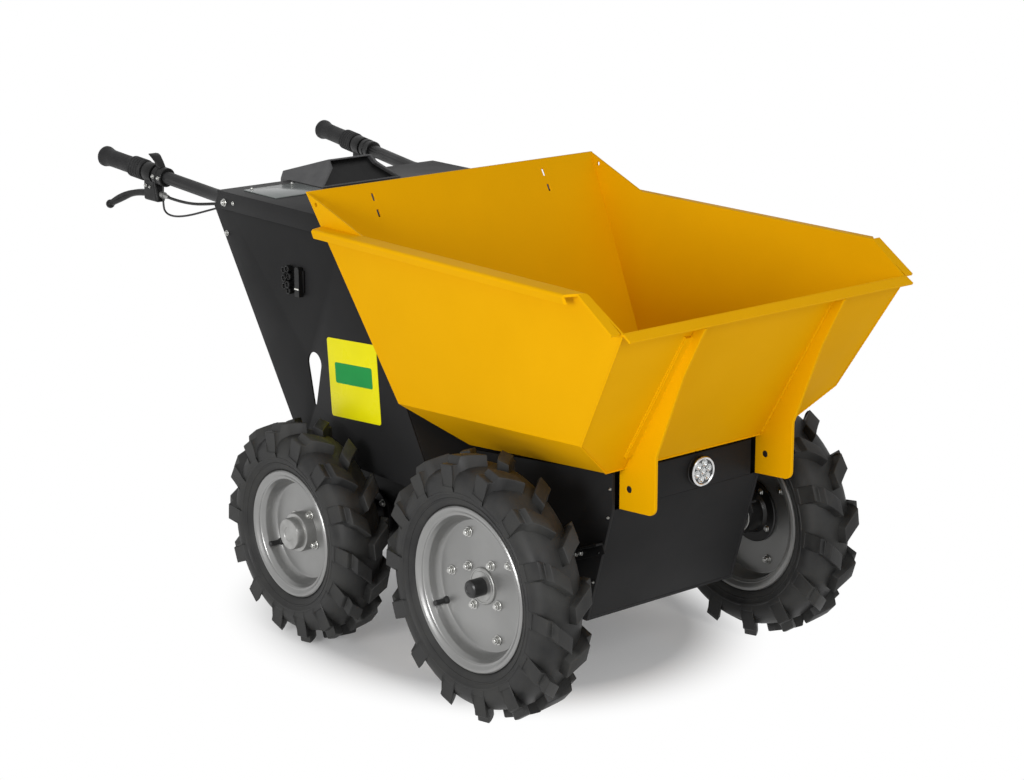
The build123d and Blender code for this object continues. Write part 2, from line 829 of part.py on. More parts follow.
# Console deck on the chassis's side plates, with the battery standing on it
with BuildPart() as console_deck:
    with BuildSketch(Plane.XY.offset(chassis_deck_z)):
        with Locations(((deck_front_x + deck_rear_x) / 2, 0)):
            Rectangle(deck_front_x - deck_rear_x, 2 * console_inner)
    extrude(amount=deck_sheet)
save(console_deck.part, "console_deck")
battery_front_x = console_front_edge(deck_top_z + battery_height) - console_sheet - battery_gap
battery_x = battery_front_x - battery_length / 2
with BuildPart() as battery_pack:
    with BuildSketch(Plane.XY.offset(deck_top_z)):
        with Locations((battery_x, 0)):
            Rectangle(battery_length, battery_width)
    extrude(amount=battery_height)
save(battery_pack.part, "battery_pack")

# Drive motor on the chassis floor
with BuildPart() as drive_motor:
    with BuildSketch(Plane.XY.offset(chassis_bottom_z + chassis_plate)):
        with Locations((front_axle_x - motor_setback - motor_length / 2, 0)):
            Rectangle(motor_length, motor_width)
    extrude(amount=motor_height)
save(drive_motor.part, "drive_motor")

# Blank label on the right side plate, set on at a slight tilt
with BuildPart() as battery_label:
    with BuildSketch(Plane.XZ.offset(console_half_width)):
        with Locations(Location((battery_x - label_setback, chassis_deck_z + label_rise, 0), label_tilt)):
            RectangleRounded(label_width, label_height, label_corner)
    extrude(amount=label_sheet)
save(battery_label.part, "battery_label")

# Power connector on the right side plate
with BuildPart() as power_connector:
    with BuildSketch(Plane.XZ.offset(console_half_width)):
        with Locations((console_rear_x + connector_run, console_top_z - connector_drop)):
            RectangleRounded(connector_length, connector_height, connector_corner)
    extrude(amount=connector_depth)
save(power_connector.part, "power_connector")

# Handlebars, bent once outside the console, and what they carry
bar_bend = bar_inside + bar_straight
bar_run = bar_inside + bar_reach
for hand, side in (("right", -1), ("left", 1)):
    rise = Vector(0, side * grip_spread, grip_rise)
    bar_plane = Plane(
        origin=(console_rear_x + bar_inside, side * bar_y, bar_z),
        x_dir=(-1, 0, 0),
        z_dir=Vector(-1, 0, 0).cross(rise),
    )
    bend_point = bar_plane.from_local_coords(Vector(bar_bend, 0))
    grip_end = bar_plane.from_local_coords(Vector(bar_run, rise.length))
    along = (grip_end - bend_point).normalized()
    bar_end = bar_plane.to_local_coords(grip_end - along * grip_wall)
    with BuildPart() as handlebar:
        with BuildLine(bar_plane) as route:
            Polyline((0, 0), (bar_bend, 0), (bar_end.X, bar_end.Y))
            fillet(route.vertices().sort_by_distance(bend_point)[0], bar_bend_radius)
        with BuildSketch(Plane(origin=bar_plane.origin, z_dir=(-1, 0, 0))):
            Circle(bar_radius)
        sweep(path=route.wire())
    save(handlebar.part, f"handlebar_{hand}")

    # Rubber grip with a flange at its inner end
    grip_plane = Plane(origin=grip_end, z_dir=along * -1)
    with BuildPart() as grip:
        with BuildSketch(grip_plane):
            Circle(grip_radius)
        extrude(amount=grip_length)
        with BuildSketch(grip_plane.offset(grip_length - grip_flange)):
            Circle(grip_flange_radius)
        extrude(amount=grip_flange)
        with BuildSketch(grip_plane.offset(grip_wall)):
            Circle(bar_radius)
        extrude(amount=grip_length, mode=Mode.SUBTRACT)
    save(grip.part, f"grip_{hand}")

    # Brake cable from the perch's barrel into the console, hanging in one easy arc
    clamp_plane = grip_plane.offset(grip_length + clamp_gap)
    blade_plane = Plane(origin=clamp_plane.origin, x_dir=along, z_dir=along.cross(Vector(0, 0, 1)))
    cable_start = blade_plane.from_local_coords(Vector(-clamp_width - barrel_length, -perch_drop + cable_drop))
    cable_end = Vector(console_rear_x + cable_entry, side * (bar_y - cable_inset), bar_z - cable_drop)
    cable_middle = (cable_start + cable_end) * 0.5 - Vector(0, 0, cable_sag)
    with BuildPart() as brake_cable:
        with BuildLine() as cable_route:
            ThreePointArc(cable_start, cable_middle, cable_end)
        barrel_plane = Plane(origin=cable_route.line @ 0, z_dir=cable_route.line % 0)
        with BuildSketch(barrel_plane):
            RegularPolygon(cable_radius, 6)
        sweep(path=cable_route.wire())
    save(brake_cable.part, f"brake_cable_{hand}")

    # Brake lever: a clamp on the bar, a perch below it with the cable's barrel, and a curved blade
    with BuildPart() as brake_lever:
        with BuildSketch(clamp_plane):
            Circle(clamp_radius)
        extrude(amount=clamp_width)
        with BuildSketch(blade_plane):
            with Locations((-clamp_width / 2, -perch_drop / 2)):
                Rectangle(clamp_width, perch_drop)
        extrude(amount=perch_width / 2, both=True)
        with BuildSketch(blade_plane):
            with BuildLine():
                tip = Line((blade_length, -blade_drop), (blade_length, -blade_drop - blade_height))
                lower = ThreePointArc(tip @ 1, (blade_length / 2, -blade_bow - blade_height), (0, -perch_drop))
                root = Line(lower @ 1, (0, -perch_drop + blade_height))
                ThreePointArc(root @ 1, (blade_length / 2, -blade_bow), tip @ 0)
            make_face()
        extrude(amount=blade_width / 2, both=True)
        with BuildSketch(barrel_plane):
            Circle(barrel_radius)
        extrude(amount=-barrel_length - clamp_width / 2)
        with BuildSketch(clamp_plane.offset(-reach / 2)):
            Circle(bar_radius)
        extrude(amount=reach, mode=Mode.SUBTRACT)
    save(brake_lever.part, f"brake_lever_{hand}")

    # Control beside the brake clamp: a thumb lever on the right, a twist collar on the left
    control_plane = clamp_plane.offset(clamp_width + clamp_gap)
    with BuildPart() as control:
        with BuildSketch(control_plane):
            Circle(clamp_radius)
        extrude(amount=control_width)
        if hand == "right":
            thumb_plane = Plane(origin=control_plane.origin, x_dir=along, z_dir=along.cross(Vector(0, 0, 1)))
            with BuildSketch(thumb_plane):
                with BuildLine():
                    Polyline(
                        (-control_width, 0),
                        (-control_width, clamp_radius + thumb_rise),
                        (thumb_reach, clamp_radius + thumb_rise + thumb_lift),
                        (thumb_reach, clamp_radius + thumb_rise - thumb_lift),
                        (0, clamp_radius),
                        (0, 0),
                        close=True,
                    )
                make_face()
            extrude(amount=thumb_width / 2, both=True)
        with BuildSketch(control_plane.offset(-reach / 2)):
            Circle(bar_radius)
        extrude(amount=reach, mode=Mode.SUBTRACT)
    save(control.part, "thumb_control" if hand == "right" else "twist_collar")

# Control hood on the rear of the console's top
hood_foot_z = console_top_z + console_sheet
hood_top_z = hood_foot_z + hood_height
hood_rear_x = console_corner_x - hood_overhang
hood_front_x = hood_rear_x + hood_length
with BuildPart() as control_hood:
    with BuildSketch(Plane.XZ):
        with BuildLine():
            Polyline(
                (console_corner_x, hood_foot_z),
                (hood_front_x, hood_foot_z),
                (hood_front_x, hood_top_z - hood_nose),
                (hood_front_x - hood_nose, hood_top_z),
                (hood_rear_x, hood_foot_z + hood_nose),
                (hood_rear_x, hood_foot_z - hood_skirt),
                (console_corner_x, hood_foot_z - hood_skirt),
                close=True,
            )
        make_face()
    extrude(amount=hood_half_width, both=True)
    for side in (-1, 1):
        hood_side = Plane(origin=(0, side * hood_half_width, hood_foot_z), z_dir=(0, side, hood_lean))
        split(bisect_by=hood_side, keep=Keep.BOTTOM)
save(control_hood.part, "control_hood")

# Display panel on the console's top
with BuildPart() as display_panel:
    with BuildSketch(Plane.XY.offset(hood_foot_z)):
        with Locations((console_corner_x + display_run, -hood_half_width - display_gap - display_width / 2)):
            Rectangle(display_length, display_width)
    extrude(amount=display_sheet)
save(display_panel.part, "display_panel")
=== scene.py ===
import math

import bpy
from mathutils import Matrix, Vector


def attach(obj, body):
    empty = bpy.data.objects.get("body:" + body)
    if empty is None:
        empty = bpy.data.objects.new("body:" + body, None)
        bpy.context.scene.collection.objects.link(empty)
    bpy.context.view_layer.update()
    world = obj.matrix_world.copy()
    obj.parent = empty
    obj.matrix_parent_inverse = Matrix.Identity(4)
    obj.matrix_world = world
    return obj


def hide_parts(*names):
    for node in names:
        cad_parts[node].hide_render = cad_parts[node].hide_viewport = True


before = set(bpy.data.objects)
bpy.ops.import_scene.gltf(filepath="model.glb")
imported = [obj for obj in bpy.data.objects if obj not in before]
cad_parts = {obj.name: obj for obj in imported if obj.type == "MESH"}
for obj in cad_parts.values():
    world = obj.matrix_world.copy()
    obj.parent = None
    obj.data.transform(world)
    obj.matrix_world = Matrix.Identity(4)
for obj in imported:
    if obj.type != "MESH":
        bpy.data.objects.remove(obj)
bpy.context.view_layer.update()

# Studio: a wide pale floor under an even white sky. A soft lamp stands low on the machine's right and
# a weaker one ahead of it, and the camera stands where the picture was taken from.
scene = bpy.context.scene
scene.view_settings.view_transform = "Standard"
floor_half = (0.50, 0.42)
floor_middle = 0.08
floor_near = 0.7
floor_far = 1.15
floor_glow = 0.15
sky_level = 0.48


def seen_rays(tree):
    """Output that is 1 on rays which show a thing to the camera, also by mirror or glass, and else 0."""
    rays = tree.nodes.new("ShaderNodeLightPath")
    seen = rays.outputs["Is Camera Ray"]
    for kind in ("Is Glossy Ray", "Is Transmission Ray"):
        either = tree.nodes.new("ShaderNodeMath")
        either.operation = "MAXIMUM"
        tree.links.new(seen, either.inputs[0])
        tree.links.new(rays.outputs[kind], either.inputs[1])
        seen = either.outputs[0]
    return seen


bpy.ops.object.select_all(action="DESELECT")
bpy.ops.mesh.primitive_plane_add(size=60)
studio_floor = bpy.context.object
studio_floor.name = "studio_floor"
floor_finish = bpy.data.materials.new("studio_floor_white")
floor_finish.use_nodes = True
tree = floor_finish.node_tree
matt = tree.nodes["Principled BSDF"]
matt.inputs["Base Color"].default_value = (0.95, 0.95, 0.95, 1)
matt.inputs["Roughness"].default_value = 1.0
matt.inputs["Specular IOR Level"].default_value = 0.0
place = tree.nodes.new("ShaderNodeTexCoord")
footprint = tree.nodes.new("ShaderNodeVectorMath")
footprint.operation = "MULTIPLY_ADD"
footprint.inputs[1].default_value = (1 / floor_half[0], 1 / floor_half[1], 0)
footprint.inputs[2].default_value = (-floor_middle / floor_half[0], 0, 0)
away = tree.nodes.new("ShaderNodeVectorMath")
away.operation = "LENGTH"
fade = tree.nodes.new("ShaderNodeMapRange")
fade.interpolation_type = "SMOOTHSTEP"
fade.inputs["From Min"].default_value = floor_near
fade.inputs["From Max"].default_value = floor_far
white = tree.nodes.new("ShaderNodeEmission")
white.inputs["Strength"].default_value = 1.0
blend = tree.nodes.new("ShaderNodeMixShader")
tree.links.new(place.outputs["Object"], footprint.inputs[0])
tree.links.new(footprint.outputs["Vector"], away.inputs[0])
tree.links.new(away.outputs["Value"], fade.inputs["Value"])
glow = tree.nodes.new("ShaderNodeMath")
glow.operation = "MAXIMUM"
glow.inputs[1].default_value = floor_glow
share = tree.nodes.new("ShaderNodeMath")
share.operation = "MULTIPLY"
tree.links.new(fade.outputs["Result"], glow.inputs[0])
tree.links.new(glow.outputs[0], share.inputs[0])
tree.links.new(seen_rays(tree), share.inputs[1])
tree.links.new(share.outputs[0], blend.inputs[0])
tree.links.new(matt.outputs[0], blend.inputs[1])
tree.links.new(white.outputs[0], blend.inputs[2])
tree.links.new(blend.outputs[0], tree.nodes["Material Output"].inputs["Surface"])
studio_floor.data.materials.append(floor_finish)

sky = bpy.data.worlds.new("studio_sky")
sky.use_nodes = True
scene.world = sky
tree = sky.node_tree
soft = tree.nodes["Background"]
soft.inputs["Color"].default_value = (1, 1, 1, 1)
soft.inputs["Strength"].default_value = sky_level
backdrop = tree.nodes.new("ShaderNodeBackground")
backdrop.inputs["Strength"].default_value = 1.0
sky_mix = tree.nodes.new("ShaderNodeMixShader")
tree.links.new(seen_rays(tree), sky_mix.inputs[0])
tree.links.new(soft.outputs[0], sky_mix.inputs[1])
tree.links.new(backdrop.outputs[0], sky_mix.inputs[2])
tree.links.new(sky_mix.outputs[0], tree.nodes["World Output"].inputs["Surface"])

lamp_aim = Vector((0.1, 0, 0.4))
lamps = (
    ("key_lamp", (1.5, -3.8, 1.35), 1.2, 73),
    ("front_lamp", (3.9, -0.6, 2.2), 1.6, 41),
)
for name, spot, size, power in lamps:
    bpy.ops.object.light_add(type="AREA", location=spot)
    lamp = bpy.context.object
    lamp.name = name
    lamp.data.size = size
    lamp.data.energy = power
    lamp.rotation_euler = (Vector(spot) - lamp_aim).to_track_quat("Z", "Y").to_euler()

camera_place = (3.36714, -2.66613, 1.57509)
camera_lens = 83.72
camera_turn = math.radians(50.357)
camera_lift = math.radians(15.118)
camera_roll = math.radians(-0.118)
bpy.ops.object.camera_add(location=camera_place)
camera = bpy.context.object
camera.data.sensor_width = 36.0
camera.data.lens = camera_lens
camera.rotation_mode = "QUATERNION"
camera_pose = (
    Matrix.Rotation(camera_turn, 3, "Z")
    @ Matrix.Rotation(math.pi / 2 - camera_lift, 3, "X")
    @ Matrix.Rotation(camera_roll, 3, "Z")
)
camera.rotation_quaternion = camera_pose.to_quaternion()
scene.camera = camera

# Bucket: sheet steel 4 mm thick, folded and welded, then powder coated in a warm yellow.
# Its rim is folded out and down, its lip is folded square and its ears carry the pivot.
mm = 0.001
hands = (("right", -1), ("left", 1))
grain = bpy.data.node_groups.new("coat_grain", "ShaderNodeTree")
for label, kind, value in (
    ("Light Colour", "NodeSocketColor", (0.8, 0.8, 0.8, 1)),
    ("Dark Colour", "NodeSocketColor", (0.6, 0.6, 0.6, 1)),
    ("Blotch Scale", "NodeSocketFloat", 4.0),
    ("Grain Scale", "NodeSocketFloat", 500.0),
    ("Rough Low", "NodeSocketFloat", 0.3),
    ("Rough High", "NodeSocketFloat", 0.5),
):
    grain.interface.new_socket(label, in_out="INPUT", socket_type=kind).default_value = value
grain.interface.new_socket("Colour", in_out="OUTPUT", socket_type="NodeSocketColor")
grain.interface.new_socket("Roughness", in_out="OUTPUT", socket_type="NodeSocketFloat")
grain.interface.new_socket("Height", in_out="OUTPUT", socket_type="NodeSocketFloat")
given = grain.nodes.new("NodeGroupInput")
result = grain.nodes.new("NodeGroupOutput")
place = grain.nodes.new("ShaderNodeTexCoord")
blotch = grain.nodes.new("ShaderNodeTexNoise")
blotch.inputs["Detail"].default_value = 4.0
spread = grain.nodes.new("ShaderNodeMapRange")
spread.inputs["From Min"].default_value = 0.32
spread.inputs["From Max"].default_value = 0.68
tint = grain.nodes.new("ShaderNodeMix")
tint.data_type = "RGBA"
peel = grain.nodes.new("ShaderNodeTexNoise")
peel.inputs["Detail"].default_value = 2.0
sheen = grain.nodes.new("ShaderNodeMix")
sheen.data_type = "FLOAT"
join = grain.links.new
join(place.outputs["Object"], blotch.inputs["Vector"])
join(place.outputs["Object"], peel.inputs["Vector"])
join(given.outputs["Blotch Scale"], blotch.inputs["Scale"])
join(given.outputs["Grain Scale"], peel.inputs["Scale"])
join(blotch.outputs["Fac"], spread.inputs["Value"])
join(spread.outputs["Result"], tint.inputs["Factor"])
join(given.outputs["Light Colour"], tint.inputs["A"])
join(given.outputs["Dark Colour"], tint.inputs["B"])
join(spread.outputs["Result"], sheen.inputs["Factor"])
join(given.outputs["Rough Low"], sheen.inputs["A"])
join(given.outputs["Rough High"], sheen.inputs["B"])
join(tint.outputs["Result"], result.inputs["Colour"])
join(sheen.outputs["Result"], result.inputs["Roughness"])
join(peel.outputs["Fac"], result.inputs["Height"])


def coat(name, light, dark, blotch, fine, rough, bump, **sockets):
    """Finish whose colour, gloss and fine relief come from the grain group."""
    finish = bpy.data.materials.new(name)
    finish.use_nodes = True
    nodes = finish.node_tree.nodes
    links = finish.node_tree.links
    shader = nodes["Principled BSDF"]
    group = nodes.new("ShaderNodeGroup")
    group.node_tree = grain
    group.inputs["Light Colour"].default_value = (*light, 1)
    group.inputs["Dark Colour"].default_value = (*dark, 1)
    group.inputs["Blotch Scale"].default_value = blotch
    group.inputs["Grain Scale"].default_value = fine
    group.inputs["Rough Low"].default_value = rough[0]
    group.inputs["Rough High"].default_value = rough[1]
    relief = nodes.new("ShaderNodeBump")
    relief.inputs["Strength"].default_value = bump
    relief.inputs["Distance"].default_value = 0.0006
    links.new(group.outputs["Colour"], shader.inputs["Base Color"])
    links.new(group.outputs["Roughness"], shader.inputs["Roughness"])
    links.new(group.outputs["Height"], relief.inputs["Height"])
    links.new(relief.outputs["Normal"], shader.inputs["Normal"])
    for socket, value in sockets.items():
        shader.inputs[socket.replace("_", " ")].default_value = value
    return finish


def edit(piece):
    """Make one piece active alone and open its mesh with nothing selected."""
    if bpy.context.object and bpy.context.object.mode != "OBJECT":
        bpy.ops.object.mode_set(mode="OBJECT")
    bpy.ops.object.select_all(action="DESELECT")
    piece.select_set(True)
    bpy.context.view_layer.objects.active = piece
    bpy.ops.object.mode_set(mode="EDIT")
    bpy.ops.mesh.select_mode(type="VERT")
    bpy.ops.mesh.select_all(action="DESELECT")


def close(angle=30):
    """Leave edit mode and smooth the active piece's faces that meet at less than an angle."""
    bpy.ops.object.mode_set(mode="OBJECT")
    bpy.ops.object.shade_smooth_by_angle(angle=math.radians(angle))


def round_edges(piece, width, segments=2, angle=30):
    """Round off the sharp edges of a piece by a modifier that is applied."""
    bpy.ops.object.select_all(action="DESELECT")
    piece.select_set(True)
    bpy.context.view_layer.objects.active = piece
    rounding = piece.modifiers.new("rounding", "BEVEL")
    rounding.width = width
    rounding.segments = segments
    rounding.limit_method = "ANGLE"
    rounding.angle_limit = math.radians(angle)
    bpy.ops.object.modifier_apply(modifier=rounding.name)
    bpy.ops.object.shade_smooth_by_angle(angle=math.radians(40))


def cut_copy(node, name, width, segments=2, angle=30):
    """Copy of a cut and folded piece, its triangles merged into whole faces and its edges rounded."""
    piece = bpy.data.objects.new(name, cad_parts[node].data.copy())
    scene.collection.objects.link(piece)
    edit(piece)
    bpy.ops.mesh.select_all(action="SELECT")
    bpy.ops.mesh.remove_doubles(threshold=0.00001)
    bpy.ops.mesh.dissolve_limited(angle_limit=math.radians(0.3))
    if width:
        bpy.ops.object.mode_set(mode="OBJECT")
        round_edges(piece, width, segments, angle)
    else:
        close(40)
    return piece


def fit(piece, body, slot, finish, *nodes):
    """Give a piece its finish, the body that it rides on and the nodes that it stands for."""
    piece.data.materials.clear()
    piece.data.materials.append(finish)
    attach(piece, body)
    if nodes:
        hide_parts(*nodes)


def pick(piece, test):
    """Select the vertices of an open mesh whose place passes a test."""
    bpy.ops.object.mode_set(mode="OBJECT")
    for vertex in piece.data.vertices:
        vertex.select = test(vertex.co)
    bpy.ops.object.mode_set(mode="EDIT")


def soften(piece, test, width, segments):
    """Round the edges whose two ends pass a test, as the press leaves a fold."""
    edit(piece)
    bpy.ops.mesh.select_mode(type="EDGE")
    bpy.ops.object.mode_set(mode="OBJECT")
    for edge in piece.data.edges:
        edge.select = test(*(piece.data.vertices[index].co for index in edge.vertices))
    bpy.ops.object.mode_set(mode="EDIT")
    bpy.ops.mesh.bevel(offset=width, segments=segments)
    bpy.ops.object.mode_set(mode="OBJECT")


def sheath(name, points, radius, fineness=24, ripple=1.0):
    """Round cord drawn along a smooth line and made a mesh; a ripple thins each second knot."""
    bpy.ops.object.select_all(action="DESELECT")
    line = bpy.data.curves.new(name, "CURVE")
    line.dimensions = "3D"
    line.bevel_depth = radius * mm
    line.bevel_resolution = 4
    line.use_fill_caps = True
    line.resolution_u = fineness
    spline = line.splines.new("NURBS")
    spline.points.add(len(points) - 1)
    for index, (knot, spot) in enumerate(zip(spline.points, points)):
        knot.co = (*spot, 1)
        knot.radius = ripple if index % 2 else 1.0
    spline.order_u = 3
    spline.use_endpoint_u = True
    piece = bpy.data.objects.new(name, line)
    scene.collection.objects.link(piece)
    piece.select_set(True)
    bpy.context.view_layer.objects.active = piece
    bpy.ops.object.convert(target="MESH")
    return bpy.context.object


def join_all(first, *others):
    """Make one piece of several, under the name of the first."""
    bpy.ops.object.select_all(action="DESELECT")
    for piece in (first, *others):
        piece.select_set(True)
    bpy.context.view_layer.objects.active = first
    bpy.ops.object.join()
    return first


bucket_yellow = coat(
    "bucket_yellow", (0.78, 0.394, 0.0003), (0.745, 0.372, 0.0003), 5.0, 420.0, (0.46, 0.56), 0.18,
    Specular_IOR_Level=0.03,
)
lip_level = 0.753
lip_out = 0.34
lip_pull = 0.984
rim_folds = ((0.3511, 0.768, 6), (0.3211, 0.7715, 3))  # out from the middle, least height, radius in mm
sheet_edge = 1.2
weld_step = 4
weld_ripple = 0.7
weld_lines = (  # radius in mm and the corners of the left half's seam
    (2.2, ((0.7798, 0.1745, 0.693), (0.6443, 0.1745, 0.4672))),
    (2.4, ((0.7858, 0.1535, 0.703), (0.6322, 0.1535, 0.447))),
    (1.7, ((0.7944, 0.3184, 0.7172), (0.6712, 0.2921, 0.512), (0.6285, 0.201, 0.4408))),
    (1.7, ((0.6285, 0.2, 0.4404), (0.6285, 0.161, 0.4404))),
    (1.7, ((0.6285, 0.153, 0.4404), (0.6285, 0.001, 0.4404))),
)
for node in (
    "bucket_floor", "bucket_rear_wall", "bucket_front_wall", "bucket_side_right", "bucket_side_left",
    "bucket_ear_right", "bucket_ear_left",
):
    sheet = cut_copy(node, node + "_sheet", 0)
    if "side" in node:
        edit(sheet)
        pick(sheet, lambda spot: abs(spot.y) > lip_out and abs(spot.z - lip_level) < 0.5 * mm)
        bpy.ops.transform.resize(value=(1, lip_pull, 1), center_override=(0, 0, lip_level))
        close()
        for line, level, width in rim_folds:
            soften(
                sheet,
                lambda *ends: all(abs(abs(end.y) - line) < 0.3 * mm and end.z > level for end in ends),
                width * mm, 4,
            )
    round_edges(sheet, sheet_edge * mm)
    fit(sheet, "bucket", "bucket_paint", bucket_yellow, node)
for hand, side in hands:
    welds = []
    for radius, ends in weld_lines:
        knots = []
        for before, after in zip(ends, ends[1:]):
            before, after = Vector(before), Vector(after)
            count = int((after - before).length / (weld_step * mm))
            knots += [before.lerp(after, step / count) for step in range(count)]
        knots = [Vector((knot.x, side * knot.y, knot.z)) for knot in knots + [Vector(ends[-1])]]
        welds.append(sheath("bucket_welds_" + hand, knots, radius, 3, weld_ripple))
    fit(join_all(*welds), "bucket", "bucket_paint", bucket_yellow)

# Chassis and console: folded steel plate with a satin charcoal powder coat. The side plates, floor
# and front panel make a tray, and the console's plates stand on its rear end.
body_charcoal = coat(
    "body_charcoal", (0.0165, 0.0165, 0.017), (0.0135, 0.0135, 0.014), 6.0, 520.0, (0.48, 0.58), 0.2,
    Specular_IOR_Level=0.12,
)
plate_edge = 0.8
for node in (
    "chassis_frame", "front_panel", "nose_panel", "console_side_right", "console_side_left", "console_top",
    "console_rear_panel", "console_front_panel", "console_deck",
):
    fit(cut_copy(node, node + "_plate", plate_edge * mm), "chassis", "body_paint", body_charcoal, node)

# Tyres: black rubber moulded in one piece, a smooth carcass with a row of thick bars on each half that
# trail from the crown to the shoulder, half a pitch apart. Each is stretched over its rim's seat.
wheels = [(end, hand, side) for end in ("front", "rear") for hand, side in hands]


def extent(node):
    """Lowest and highest corner of a node in the shared frame."""
    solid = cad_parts[node]
    corners = [solid.matrix_world @ Vector(corner) for corner in solid.bound_box]
    return Vector(map(min, zip(*corners))), Vector(map(max, zip(*corners)))


def axle_point(node):
    """Middle of a turned piece, on its axle."""
    low, high = extent(node)
    return (low + high) / 2


def lathe(name, centre, out, profile, steps):
    """Piece spun about a line from its half section, given as radius and distance along the line in mm."""
    out = Vector(out).normalized()
    level = Vector((0, 0, 1)) if abs(out.z) < 0.9 else Vector((1, 0, 0))
    radial = (level - out * out.dot(level)).normalized()
    bpy.ops.object.select_all(action="DESELECT")
    bpy.ops.mesh.primitive_plane_add(size=mm)
    piece = bpy.context.object
    piece.name = name
    edit(piece)
    bpy.ops.mesh.select_all(action="SELECT")
    bpy.ops.mesh.merge(type="CENTER")
    spots = [centre + (out * along + radial * radius) * mm for radius, along in profile]
    bpy.ops.transform.translate(value=spots[0])
    for before, after in zip(spots, spots[1:]):
        bpy.ops.mesh.extrude_vertices_move(TRANSFORM_OT_translate={"value": after - before})
    bpy.ops.mesh.select_all(action="SELECT")
    bpy.ops.mesh.spin(steps=steps, angle=2 * math.pi, center=centre, axis=out)
    bpy.ops.mesh.select_all(action="SELECT")
    bpy.ops.mesh.remove_doubles(threshold=0.00002)
    bpy.ops.mesh.normals_make_consistent(inside=False)
    close()
    return piece


tyre_rubber = coat(
    "tyre_rubber", (0.029, 0.029, 0.0275), (0.0095, 0.0095, 0.0098), 20.0, 700.0, (0.66, 0.46), 0.35,
    Specular_IOR_Level=0.35,
)
carcass_half = (
    (20, 0), (20.6, 14), (23, 26), (28, 36), (35, 43), (44, 47.6), (53, 49.4), (60.5, 48.8), (62, 49.8),
    (64.5, 49.5), (66, 47.8), (71.6, 45.6), (72.4, 46.4), (74, 45.8), (74.8, 44.4), (79, 42.4), (84, 40),
    (86.3, 37), (101.9, 37),
)
bar_count = 14
bar_pitch = 2 * math.pi / bar_count
bar_reach = 31.5
bar_half_width = 9
bar_foot = 1.65
bar_depth = 50
bar_sink = 7
bar_trim = 1.6
bar_edge = 2.6
bar_rows = (  # distance out, place across the bar's way and fall of the top at each section, in mm
    (2, -23.5, 0), (13, -13, 0), (25, -3, 0), (36, 5, 0), (45, 10.5, 1), (51, 13.5, 3.5), (55.8, 15, 9),
)


def tread_bars(centre, radius, row, turn):
    """Ring of bars on one half of a tyre: one bar drawn out from its end face, then copied around."""
    bpy.ops.object.select_all(action="DESELECT")
    bpy.ops.mesh.primitive_plane_add(size=1, rotation=(math.pi / 2, 0, 0))
    bars = bpy.context.object
    bpy.ops.object.transform_apply(location=True, rotation=True, scale=True)
    edit(bars)
    bpy.ops.mesh.select_all(action="SELECT")
    bpy.ops.transform.resize(value=(bar_depth * mm, 1, 2 * bar_half_width * mm))
    pick(bars, lambda spot: spot.x < 0)
    bpy.ops.transform.resize(value=(1, 1, bar_foot))
    bpy.ops.mesh.select_all(action="SELECT")
    before = Vector()
    for index, (out, across, _) in enumerate(bar_rows):
        top = math.sqrt((radius / mm) ** 2 - (abs(across) + bar_half_width) ** 2)
        after = Vector((top - bar_depth / 2, row * out, across)) * mm
        if index == 0:
            bpy.ops.transform.translate(value=after - before)
        else:
            bpy.ops.mesh.extrude_region_move(TRANSFORM_OT_translate={"value": after - before})
        before = after
    for out, _, fall in bar_rows[4:]:
        pick(bars, lambda spot: abs(spot.y - row * out * mm) < 0.1 * mm and spot.x > before.x)
        bpy.ops.transform.translate(value=(-fall * mm, 0, 0))
    end_y = row * bar_rows[-1][0] * mm
    foot_x = before.x - bar_depth * mm / 4
    pick(bars, lambda spot: abs(spot.y - end_y) < 0.1 * mm and spot.x < foot_x)
    bpy.ops.transform.translate(value=(0, -row * bar_sink * mm, 0))
    bpy.ops.mesh.select_all(action="SELECT")
    bpy.ops.mesh.normals_make_consistent(inside=False)
    bpy.ops.transform.rotate(value=turn, orient_axis="Y", center_override=(0, 0, 0))
    bpy.ops.transform.translate(value=centre)
    bpy.ops.mesh.spin(
        steps=bar_count - 1, dupli=True, angle=2 * math.pi - bar_pitch, center=centre, axis=(0, 1, 0)
    )
    bpy.ops.object.mode_set(mode="OBJECT")
    round_edges(bars, bar_edge * mm, 3)
    return bars


for end, hand, side in wheels:
    node = f"tyre_{end}_{hand}"
    centre = axle_point(node)
    radius = extent(node)[1].z - centre.z
    far_half = [(radius / mm - drop, -out) for drop, out in reversed(carcass_half[1:])]
    near_half = [(radius / mm - drop, out) for drop, out in carcass_half]
    tyre = lathe(node + "_rubber", centre, (0, side, 0), far_half + near_half + far_half[:1], 96)
    first_bar = math.asin(bar_reach * mm / radius) - math.pi / 2
    for row, turn in ((-1, first_bar), (1, first_bar + bar_pitch / 2)):
        join_all(tyre, tread_bars(centre, radius - bar_trim * mm, row, turn))
    fit(tyre, f"wheel_{end}_{hand}", "tyre_rubber", tyre_rubber, node)

